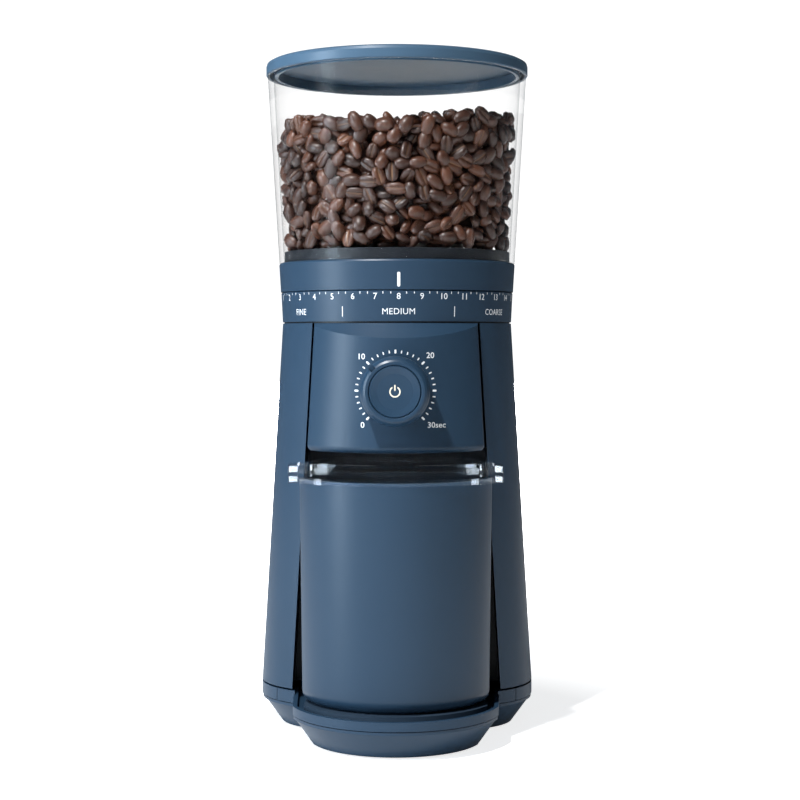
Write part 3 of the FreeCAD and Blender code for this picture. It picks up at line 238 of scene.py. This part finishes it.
def bean_skin():
    """Roasted skin: each bean has its own tone, with an oily sheen and a pale centre cut."""
    s = Shader("roasted_bean_skin")
    tone = s.node("Attribute", {"attribute_name": "bean_tone"}, {}, "Color")
    parts = s.node("SeparateColor", {}, {"Color": tone}, "Red")
    cut = s.node("SeparateColor", {}, {"Color": tone}, "Green")
    mottle = s.noise(420.0, 3.0)
    roast = s.node("ValToRGB", {"stops": [
        (0.0, rgb(0.012, 0.0046, 0.0028)),
        (0.45, rgb(0.040, 0.0135, 0.0066)),
        (1.0, rgb(0.120, 0.040, 0.017)),
    ]}, {"Fac": parts * 0.8 + mottle * 0.25})
    return s.principled(
        Base_Color=s.mix(cut, roast, rgb(0.30, 0.155, 0.075)),
        Roughness=0.36 + mottle * 0.22 + cut * 0.2,
        Normal=s.bump(mottle, 0.25, 0.0006),
        Coat_Weight=0.15 + mottle * 0.2,
        Coat_Roughness=0.3,
    )


def print_ink(name, colour):
    """Pad-printed ink with slightly uneven cover, and a faint painted glow that keeps it bright in shade."""
    s = Shader(name)
    cover = s.noise(900.0, 2.0)
    return s.principled(
        Base_Color=s.mix(cover, rgb(*(c * 0.9 for c in colour)), rgb(*colour)),
        Roughness=0.45 + cover * 0.15,
        # Painted glow: the ink gives off a little light of its own so it holds its brightness in the shade.
        Emission_Color=rgb(*colour),
        Emission_Strength=0.16,
    )


slate = moulded("slate_moulding", SLATE, SLATE_WORN, 0.40)
slate_fine = moulded("slate_satin_moulding", SLATE, SLATE_WORN, 0.33, grain=2200.0, grain_depth=0.015)
# The lid's moulding is the body's plastic in a lighter colour: painted light.
slate_lid_painted_light = moulded("slate_lid_moulding_painted_light", PAINTED_LIGHT_LID_SLATE, PAINTED_LIGHT_LID_SLATE_WORN, 0.36, grain=2600.0, grain_depth=0.01)
slate_silicone = rubber("slate_silicone", (0.012, 0.028, 0.050), (0.017, 0.035, 0.060))
black = moulded("black_moulding", NEAR_BLACK, (0.010, 0.013, 0.018), 0.42)
hopper_clear = clear_plastic("clear_hopper_moulding", (0.95, 0.945, 0.925), 0.03, 0.85)
lid_clear = clear_plastic("clear_lid_moulding", (0.62, 0.80, 1.0), 0.16, 0.95)
foot_rubber = rubber("black_foot_rubber", (0.010, 0.010, 0.011), (0.018, 0.018, 0.019))
steel = metal("drawn_steel", (0.48, 0.48, 0.49), (0.60, 0.60, 0.61), 0.32)
burr_steel = metal("ground_burr_steel", (0.36, 0.36, 0.37), (0.46, 0.46, 0.47), 0.38)
dark_screw = metal("blackened_screw_steel", (0.16, 0.16, 0.17), (0.22, 0.22, 0.23), 0.42)
alloy = metal("cast_alloy", (0.55, 0.55, 0.57), (0.66, 0.66, 0.68), 0.48, (1, 1, 1))
brass = metal("cut_brass", (0.60, 0.42, 0.16), (0.74, 0.55, 0.25), 0.30)
laminations = metal("iron_laminations", (0.13, 0.13, 0.135), (0.22, 0.22, 0.225), 0.5, (1, 1, 30))
gear_nylon = moulded("cream_nylon", (0.62, 0.59, 0.52), (0.70, 0.67, 0.60), 0.45)
lead_jacket = moulded("red_lead_jacket", (0.30, 0.02, 0.015), (0.36, 0.03, 0.02), 0.45)
board = circuit_board()
beans_skin = bean_skin()
# Both inks carry a faint painted glow.
white_ink_painted_glow = print_ink("white_print_painted_glow", (0.80, 0.82, 0.84))
cream_ink_painted_glow = print_ink("cream_print_painted_glow", (0.78, 0.72, 0.58))

FINISHES = {
    slate: "rear_housing front_panel scale_ring hopper_collar base_band base_tray base_pan",
    slate_lid_painted_light: "hopper_lid",
    slate_fine: "grounds_container timer_knob start_button",
    slate_silicone: "tray_pad lid_seal carrier_gasket chute_flap button_spring motor_isolators",
    black: "bay_liner head_underside top_deck hopper_floor hopper_gate grounds_chute grinding_chamber "
           "adjusting_ring spring_seat gearbox_lower gearbox_upper motor_end_cap timer_pot start_switch "
           "interlock_switch sweeper cord_inlet",
    hopper_clear: "bean_hopper",
    lid_clear: "container_lid",
    foot_rubber: "rubber_feet",
    burr_steel: "cone_burr ring_burr",
    steel: "drive_shaft idler_axle gate_pin carrier_spring shaft_bearings motor_can motor_bracket",
    dark_screw: "base_screws housing_screws burr_bolt",
    alloy: "burr_carrier",
    gear_nylon: "output_gear idler_gear",
    brass: "rotor_pinion",
    laminations: "motor_rotor motor_magnets",
    board: "control_board power_board",
    lead_jacket: "motor_leads",
    beans_skin: "coffee_beans",
}


def finish_nodes():
    """Gives every CAD node its finish."""
    for material, names in FINISHES.items():
        for name in names.split():
            node = frame["nodes"][name]
            node.data.materials.clear()
            node.data.materials.append(material)


finish_nodes()


def round_button_corners():
    """A small round where the start button's mesh has sharp corners; it adds only a few faces."""
    round_off = frame["nodes"]["start_button"].modifiers.new("rounded_corners", "BEVEL")
    round_off.width = 0.30 * MM
    round_off.segments = 2
    round_off.limit_method = "ANGLE"
    round_off.angle_limit = math.radians(42)
    round_off.harden_normals = True


round_button_corners()


# ---------------------------------------------------------------- mesh helpers
def piece_from(bm, name, material, body, smooth=True):
    """Makes a finished bmesh a piece that rides on a body."""
    mesh = bpy.data.meshes.new(name)
    bm.to_mesh(mesh)
    bm.free()
    for polygon in mesh.polygons:
        polygon.use_smooth = smooth
    mesh.materials.append(material)
    piece = bpy.data.objects.new(name, mesh)
    bpy.context.scene.collection.objects.link(piece)
    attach(piece, body)
    return piece


def surface_of(node):
    """Search tree of a CAD node's surface."""
    bm = bmesh.new()
    bm.from_mesh(frame["nodes"][node].data)
    bmesh.ops.remove_doubles(bm, verts=bm.verts, dist=1e-6)
    tree = BVHTree.FromBMesh(bm)
    bm.free()
    return tree


INK_LIFT = 0.05 * MM


def lay_on(bm, tree, direction_at, reach=0.03):
    """Drops every point on the surface along its own direction, less the ink's height."""
    for vert in bm.verts:
        direction = direction_at(vert.co)
        hit, _, _, _ = tree.ray_cast(vert.co - direction * reach, direction, reach * 2)
        if hit is not None:
            vert.co = hit - direction * INK_LIFT


def letters(text, height, bold=0.0, spacing=1.0):
    """Flat text as a bmesh, centred on the origin, its capitals as tall as height."""
    curve = bpy.data.curves.new("letters", "FONT")
    curve.body = text
    curve.align_x = "CENTER"
    curve.align_y = "CENTER"
    curve.space_character = spacing
    curve.offset = bold
    curve.resolution_u = 3
    holder = bpy.data.objects.new("letters", curve)
    mesh = bpy.data.meshes.new_from_object(holder)
    bpy.data.objects.remove(holder)
    bm = bmesh.new()
    bm.from_mesh(mesh)
    bpy.data.meshes.remove(mesh)
    bmesh.ops.remove_doubles(bm, verts=bm.verts, dist=1e-5)
    low = Vector((min(v.co.x for v in bm.verts), min(v.co.y for v in bm.verts), 0))
    high = Vector((max(v.co.x for v in bm.verts), max(v.co.y for v in bm.verts), 0))
    bmesh.ops.translate(bm, verts=bm.verts, vec=-(low + high) / 2)
    bmesh.ops.scale(bm, verts=bm.verts, vec=(height / (high.y - low.y),) * 3)
    return bm


def bar(width, height, rounded=True):
    """Flat upright bar with rounded ends, centred on the origin."""
    bm = bmesh.new()
    bmesh.ops.create_grid(bm, x_segments=1, y_segments=3, size=0.5)
    bmesh.ops.scale(bm, verts=bm.verts, vec=(width, height, 1))
    if rounded:
        corners = [v for v in bm.verts if abs(abs(v.co.y) - height / 2) < 1e-9]
        bmesh.ops.bevel(bm, geom=corners, offset=width * 0.45, segments=3, profile=0.5,
                        affect="VERTICES", material=-1)
    return bm


def join_into(target, source):
    """Adds one bmesh to another and frees it."""
    mesh = bpy.data.meshes.new("joined")
    source.to_mesh(mesh)
    source.free()
    target.from_mesh(mesh)
    bpy.data.meshes.remove(mesh)


# ---------------------------------------------------------------- scale ring and collar print
NUMBER_STEP = math.radians(11.0)
FIRST_NUMBER, LAST_NUMBER, MIDDLE_NUMBER = 1, 15, 8
NUMBER_H = 3.7 * MM
WORD_H = 3.6 * MM
ZONE_ANGLE = math.radians(27.5)
MARK_TURN = math.radians(1.45)            # all marks stand a little to the right of the front
WORD_ANGLE = math.radians(54.5)


def wrap_round(bm, angle, z):
    """Bends a flat mark round the burr axis; angle 0 is the front and grows to the right."""
    radius = (scale_hi.x - scale_lo.x) / 2
    for vert in bm.verts:
        around = MARK_TURN + angle + vert.co.x / radius
        vert.co = AXIS + Vector((radius * math.sin(around), -radius * math.cos(around), z + vert.co.y))


def inward(point):
    direction = AXIS - point
    direction.z = 0.0
    return direction.normalized()


def ring_print():
    """Numbers, ticks, zone lines and zone words on the fixed ring."""
    ink = bmesh.new()
    number_z = scale_hi.z - 3.6 * MM
    tick_z = scale_hi.z - 1.5 * MM
    word_z = scale_lo.z + 5.9 * MM
    marks = []
    for number in range(FIRST_NUMBER, LAST_NUMBER + 1):
        angle = (number - MIDDLE_NUMBER) * NUMBER_STEP
        marks.append((letters(str(number), NUMBER_H, 0.004), angle, number_z))
        if number < LAST_NUMBER:
            for third in (1, 2):
                marks.append((bar(0.5 * MM, 1.4 * MM), angle + NUMBER_STEP * third / 3, tick_z))
    for word, angle in (("FINE", -WORD_ANGLE), ("MEDIUM", 0.0), ("COARSE", WORD_ANGLE)):
        marks.append((letters(word, WORD_H, 0.0, 1.06), angle, word_z))
    for side in (-1, 1):
        marks.append((bar(0.55 * MM, 6.2 * MM), side * ZONE_ANGLE, word_z))
    for mark, angle, z in marks:
        wrap_round(mark, angle, z)
        join_into(ink, mark)
    lay_on(ink, surface_of("scale_ring"), inward)
    return piece_from(ink, "scale_print", white_ink_painted_glow, "housing", smooth=False)


def collar_pointer():
    ink = bar(1.8 * MM, 8.8 * MM)
    wrap_round(ink, 0.0, (collar_lo.z + collar_hi.z) / 2 - 0.25 * MM)
    lay_on(ink, surface_of("hopper_collar"), inward)
    return piece_from(ink, "collar_pointer", white_ink_painted_glow, "hopper", smooth=False)


ring_print()
collar_pointer()


# ---------------------------------------------------------------- timer dial print
TICK_R = 23.1 * MM
SECOND_ANGLE = math.radians(9.0)
ZERO_ANGLE = math.radians(225.0)
LABEL_H = 3.45 * MM
# Label, and millimetres right of and above the dial's axis.
DIAL_LABELS = (("0", -19.4, -20.2), ("10", -19.9, 20.2), ("20", 20.6, 20.9), ("30sec", 24.4, -20.2))
BOLD_TICK = (1.2 * MM, 2.4 * MM)
FINE_TICK = (0.75 * MM, 1.8 * MM)
LAST_SECOND = 30
BOLD_EVERY = 5


def into_panel(_point):
    """Straight back, wherever the point is."""
    return Vector((0, 1, 0))


def stand_up(bm, x, z, turn=0.0):
    """Turns a flat mark to face the front and puts it beside the dial's axis."""
    bmesh.ops.rotate(bm, verts=bm.verts, cent=(0, 0, 0), matrix=Matrix.Rotation(turn, 3, "Z"))
    bmesh.ops.rotate(bm, verts=bm.verts, cent=(0, 0, 0), matrix=Matrix.Rotation(math.pi / 2, 3, "X"))
    bmesh.ops.translate(bm, verts=bm.verts, vec=DIAL + Vector((x, 0, z)))


def dial_print():
    """Thirty-one ticks, every fifth one bold, and four labels."""
    ink = bmesh.new()
    for second in range(LAST_SECOND + 1):
        angle = ZERO_ANGLE - second * SECOND_ANGLE
        tick = bar(*(FINE_TICK if second % BOLD_EVERY else BOLD_TICK))
        stand_up(tick, TICK_R * math.cos(angle), TICK_R * math.sin(angle), angle - math.pi / 2)
        join_into(ink, tick)
    for label, x, z in DIAL_LABELS:
        word = letters(label, LABEL_H, 0.01)
        stand_up(word, x * MM, z * MM)
        join_into(ink, word)
    lay_on(ink, surface_of("front_panel"), into_panel, 0.05)
    return piece_from(ink, "dial_print", white_ink_painted_glow, "housing", smooth=False)


def start_symbol():
    """Plain start mark on the button: an open ring with a bar in its gap."""
    ink = bmesh.new()
    ring_r, thick = 3.3 * MM, 0.8 * MM
    bmesh.ops.create_circle(ink, segments=48, radius=ring_r)
    outer = list(ink.edges)
    grown = bmesh.ops.extrude_edge_only(ink, edges=outer)
    inner = [v for v in grown["geom"] if isinstance(v, bmesh.types.BMVert)]
    bmesh.ops.scale(ink, verts=inner, vec=((ring_r - thick) / ring_r,) * 3)
    gap = [f for f in ink.faces if abs(f.calc_center_median().x) < 1.3 * MM and f.calc_center_median().y > 0]
    bmesh.ops.delete(ink, geom=gap, context="FACES")
    stroke = bar(0.85 * MM, 3.6 * MM)
    bmesh.ops.translate(stroke, verts=stroke.verts, vec=(0, 2.3 * MM, 0))
    join_into(ink, stroke)
    stand_up(ink, 0, 0)
    bmesh.ops.recalc_face_normals(ink, faces=ink.faces)
    lay_on(ink, surface_of("start_button"), into_panel, 0.05)
    return piece_from(ink, "start_symbol", cream_ink_painted_glow, "button", smooth=False)


dial_print()
start_symbol()


# ---------------------------------------------------------------- coffee beans
BEAN_L, BEAN_W = 12.6 * MM, 9.2 * MM
BEAN_SPACING = 8.3 * MM
SHELL_DEPTH = 13.0 * MM
BEAN_COUNT = 1250
RELAX_STEPS = 40
SEED = 11

# Cross-section of a bean as (angle from the cut, sideways, up) shares of its half width.
BEAN_SECTION = ((0, 0.0, -0.12), (1, 0.15, -0.36), (2, 0.86, -0.24), (3, 0.84, 0.46), (4, 0.0, 0.86))


def one_bean():
    """A domed bean with a flat side and a cut along it; (vertices, faces, cut mask)."""
    bm = bmesh.new()
    bmesh.ops.create_uvsphere(bm, u_segments=8, v_segments=6, radius=1.0)
    bm.verts.ensure_lookup_table()
    cut = []
    for vert in bm.verts:
        spread = math.hypot(vert.co.x, vert.co.y)
        along = vert.co.z
        step = round(math.atan2(vert.co.y, vert.co.x) / (math.pi / 4)) if spread > 1e-6 else 0
        _, side, up = BEAN_SECTION[abs(step)]
        sign = -1 if step < 0 else 1
        if spread < 1e-6:
            side, up = 0.0, 0.12
            width = 1.0
        else:
            width = spread ** 0.75
        cut.append(1.0 if step == 0 and 1e-6 < spread else 0.0)
        vert.co = Vector((along * BEAN_L / 2, sign * side * width * BEAN_W / 2, up * width * BEAN_W / 2))
    faces = [[v.index for v in f.verts] for f in bm.faces]
    points = np.array([v.co[:] for v in bm.verts])
    bm.free()
    return points, faces, np.array(cut)


def heap_radius(z):
    """Radius that bean centres may reach at a height: the hopper's inside less half a bean."""
    r_low = (collar_hi.x - collar_lo.x) / 2 - 4.4 * MM
    r_high = (hopper_hi.x - hopper_lo.x) / 2 - 3.0 * MM
    share = (z - collar_hi.z) / (hopper_hi.z - collar_hi.z)
    return r_low + (r_high - r_low) * share - 4.0 * MM


def heap_top(x, y):
    """Uneven top of the heap, higher on the right."""
    wave = 0.0020 * np.cos((x + 0.046) * 70) + 0.0015 * np.sin(y * 83 + x * 37)
    return heap_hi.z - 10.7 * MM + 0.055 * x + 0.5 * x ** 2 + wave


def funnel_floor(r):
    """Height of the hopper floor's funnel at a radius."""
    slope = (heap_lo.z + 20 * MM, heap_lo.z + 3 * MM)
    share = np.clip(r / 0.068, 0, 1)
    return slope[1] + (slope[0] - slope[1]) * share


def pack_beans(rng):
    """Spreads bean centres evenly through the outer layer and the top of the heap."""
    points = []
    while len(points) < BEAN_COUNT:
        x, y = rng.uniform(-0.075, 0.075, 2)
        z = rng.uniform(heap_lo.z, heap_hi.z)
        r = math.hypot(x, y)
        top = heap_top(x, y)
        if r > heap_radius(z) or z > top or z < funnel_floor(r):
            continue
        if r > heap_radius(z) - SHELL_DEPTH or z > top - SHELL_DEPTH:
            points.append((x, y, z))
    points = np.array(points)
    for _ in range(RELAX_STEPS):
        delta = points[:, None, :] - points[None, :, :]
        dist = np.sqrt((delta ** 2).sum(-1)) + 1e-9
        push = np.clip(BEAN_SPACING - dist, 0, None)
        np.fill_diagonal(push, 0)
        points = points + (delta / dist[..., None] * push[..., None]).sum(1) * 0.28
        r = np.hypot(points[:, 0], points[:, 1]) + 1e-9
        limit = heap_radius(points[:, 2])
        deep = points[:, 2] < heap_top(points[:, 0], points[:, 1]) - SHELL_DEPTH
        inner = np.where(deep, limit - SHELL_DEPTH, 0)
        scale = np.clip(r, inner, limit) / r
        points[:, :2] *= scale[:, None]
        points[:, 2] = np.minimum(points[:, 2], heap_top(points[:, 0], points[:, 1]))
        points[:, 2] = np.maximum(points[:, 2], funnel_floor(r) + 2.5 * MM)
    return points


def bean_turns(points, rng):
    """A rotation for each bean: flat against the wall or the heap's top, and tilted at random."""
    turns = []
    for x, y, z in points:
        r = math.hypot(x, y)
        near_wall = r > heap_radius(z) - 4 * MM
        outward = Vector((x, y, 0)).normalized() if near_wall else Vector((0, 0, 1))
        if rng.random() < 0.42:
            outward = -outward
        tilt = Vector(rng.normal(0, 0.34 if near_wall else 0.5, 3))
        up = (outward + tilt).normalized()
        along = up.cross(Vector(rng.normal(0, 1, 3))).normalized()
        side = up.cross(along)
        turns.append(Matrix((along, side, up)).transposed())
    return turns


def heap_core():
    """Dark inside of the heap, behind its outer layers of beans: a filler in the darkest bean tone, painted
    shade where the hidden beans would lie in shadow.
    """
    low, high = heap_lo.z + 22 * MM, heap_hi.z - 24 * MM
    bm = bmesh.new()
    bmesh.ops.create_cone(bm, cap_ends=True, segments=40, radius1=heap_radius(low) - 7 * MM,
                          radius2=heap_radius(high) - 7 * MM, depth=high - low)
    bmesh.ops.translate(bm, verts=bm.verts, vec=(0, 0, (low + high) / 2))
    faces = [[v.index for v in f.verts] for f in bm.faces]
    points = np.array([v.co[:] for v in bm.verts])
    bm.free()
    return points, faces


def coffee_heap():
    """About twelve hundred beans in one mesh."""
    rng = np.random.default_rng(SEED)
    shape, faces, cut = one_bean()
    centres = pack_beans(rng)
    turns = bean_turns(centres, rng)
    count = len(shape)
    all_points = []
    all_faces = []
    tones = []
    for i, (centre, turn) in enumerate(zip(centres, turns)):
        size = np.array([rng.normal(1, 0.06), rng.normal(1, 0.05), rng.normal(1, 0.05)])
        moved = (shape * size) @ np.array(turn).T + centre
        all_points.append(moved)
        all_faces.extend([[v + i * count for v in face] for face in faces])
        tone = rng.beta(2.2, 2.0)
        tones.extend([(tone, c, 0.0, 1.0) for c in cut * rng.uniform(0.25, 0.9)])
    mesh = bpy.data.meshes.new("coffee_heap")
    core_points, core_faces = heap_core()
    all_faces.extend([[v + len(tones) for v in face] for face in core_faces])
    all_points.append(core_points)
    # The core takes the darkest tone: painted shade for the inside of the heap.
    tones.extend([(0.0, 0.0, 0.0, 1.0)] * len(core_points))
    mesh.from_pydata((np.concatenate(all_points) + np.array(AXIS)).tolist(), [], all_faces)
    tone_layer = mesh.color_attributes.new("bean_tone", "FLOAT_COLOR", "POINT")
    tone_layer.data.foreach_set("color", np.array(tones, dtype=np.float32).ravel())
    bm = bmesh.new()
    bm.from_mesh(mesh)
    bpy.data.meshes.remove(mesh)
    heap = piece_from(bm, "coffee_heap", beans_skin, "hopper")
    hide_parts("coffee_beans")
    return heap


coffee_heap()


# ---------------------------------------------------------------- floor, light, camera
FLOOR_SEEN, FLOOR_GLOW, FLOOR_NEAR, FLOOR_RISE = 0.80, 0.08, 0.14, 3.5
SKY_SEEN = 1.12
ROOM_DIM, BACKDROP = 0.03, 0.12           # studio's light from the front and from behind
EYE_DISTANCE = 1.113      # from the burr axis
EYE_SIDE = 0.0129
EYE_HEIGHT = 0.2422
FOCAL = 78.75             # on a 36 mm wide sensor
PITCH = math.radians(0.982)
SHIFT = -0.0375
YAW = 0.00988


def floor():
    """White sweep that keeps a soft shadow near the object and is plain white far off."""
    bm = bmesh.new()
    bmesh.ops.create_circle(bm, cap_ends=True, segments=64, radius=9.0)
    s = Shader("white_sweep")
    grain = s.noise(3.0, 2.0)
    lit = s.node("BsdfDiffuse", {}, {"Color": s.mix(grain, rgb(0.90, 0.90, 0.90), rgb(0.92, 0.92, 0.92))})
    seen = s.node("LightPath", output="Is Camera Ray")
    through = s.node("LightPath", output="Is Transmission Ray")
    far = s.node("VectorMath", {"operation": "LENGTH"}, {0: s.place()}, "Value")
    to_eye = FLOOR_SEEN + (far - FLOOR_NEAR).math("MAXIMUM", 0.0) * FLOOR_RISE
    strength = FLOOR_GLOW + seen.math("MAXIMUM", through) * (to_eye - FLOOR_GLOW)
    glow = s.node("Emission", {}, {"Color": rgb(1, 1, 1), "Strength": strength})
    both = s.node("AddShader", {}, {0: lit, 1: glow})
    s.surface(both)
    mesh = bpy.data.meshes.new("floor")
    bm.to_mesh(mesh)
    bm.free()
    mesh.materials.append(s.material)
    sweep = bpy.data.objects.new("floor", mesh)
    bpy.context.scene.collection.objects.link(sweep)


def area_light(name, place, target, size, power, colour=(1, 1, 1)):
    light = bpy.data.lights.new(name, "AREA")
    light.shape = "RECTANGLE"
    light.size, light.size_y = size
    light.energy = power
    light.color = colour
    holder = bpy.data.objects.new(name, light)
    holder.location = place
    holder.rotation_euler = (Vector(target) - Vector(place)).to_track_quat("-Z", "Y").to_euler()
    bpy.context.scene.collection.objects.link(holder)


def world():
    """White to the eye and through clear parts; as a light, a pale backdrop in a dim room."""
    made = bpy.data.worlds.new("studio")
    made.use_nodes = True
    tree = made.node_tree
    tree.nodes.clear()
    seen = tree.nodes.new("ShaderNodeBackground")
    seen.inputs["Color"].default_value = rgb(1, 1, 1)
    seen.inputs["Strength"].default_value = SKY_SEEN
    lit = tree.nodes.new("ShaderNodeBackground")
    lit.inputs["Color"].default_value = rgb(0.66, 0.84, 1.0)
    path = tree.nodes.new("ShaderNodeLightPath")
    where = tree.nodes.new("ShaderNodeTexCoord")
    parts = tree.nodes.new("ShaderNodeSeparateXYZ")
    power = tree.nodes.new("ShaderNodeMapRange")
    power.interpolation_type = "SMOOTHSTEP"
    power.inputs["From Min"].default_value = -0.1
    power.inputs["From Max"].default_value = 0.8
    power.inputs["To Min"].default_value = ROOM_DIM
    power.inputs["To Max"].default_value = BACKDROP
    tree.links.new(where.outputs["Generated"], parts.inputs["Vector"])
    tree.links.new(parts.outputs["Y"], power.inputs["Value"])
    tree.links.new(power.outputs["Result"], lit.inputs["Strength"])
    either = tree.nodes.new("ShaderNodeMath")
    either.operation = "MAXIMUM"
    tree.links.new(path.outputs["Is Camera Ray"], either.inputs[0])
    tree.links.new(path.outputs["Is Transmission Ray"], either.inputs[1])
    mixer = tree.nodes.new("ShaderNodeMixShader")
    tree.links.new(either.outputs[0], mixer.inputs[0])
    tree.links.new(lit.outputs[0], mixer.inputs[1])
    tree.links.new(seen.outputs[0], mixer.inputs[2])
    output = tree.nodes.new("ShaderNodeOutputWorld")
    tree.links.new(mixer.outputs[0], output.inputs["Surface"])
    bpy.context.scene.world = made


def camera():
    made = bpy.data.cameras.new("camera")
    made.sensor_width = 36.0
    made.lens = FOCAL
    made.shift_y = SHIFT
    holder = bpy.data.objects.new("camera", made)
    holder.location = AXIS + Vector((EYE_SIDE, -EYE_DISTANCE, EYE_HEIGHT))
    holder.rotation_euler = (math.pi / 2 - PITCH, 0, YAW)
    bpy.context.scene.collection.objects.link(holder)
    bpy.context.scene.camera = holder


floor()
world()
camera()
COOL = (0.72, 0.87, 1.0)
area_light("key", (-0.75, -1.25, 2.25), (0, 0, 0.22), (0.14, 0.14), 80)
area_light("left_wash", (-1.25, -0.62, 0.50), (0, 0, 0.20), (0.35, 0.9), 19, COOL)
area_light("front_fill", (-0.5, -2.4, 1.0), (0, 0, 0.22), (1.0, 0.8), 2.2, COOL)
bpy.context.scene.view_settings.view_transform = "Standard"
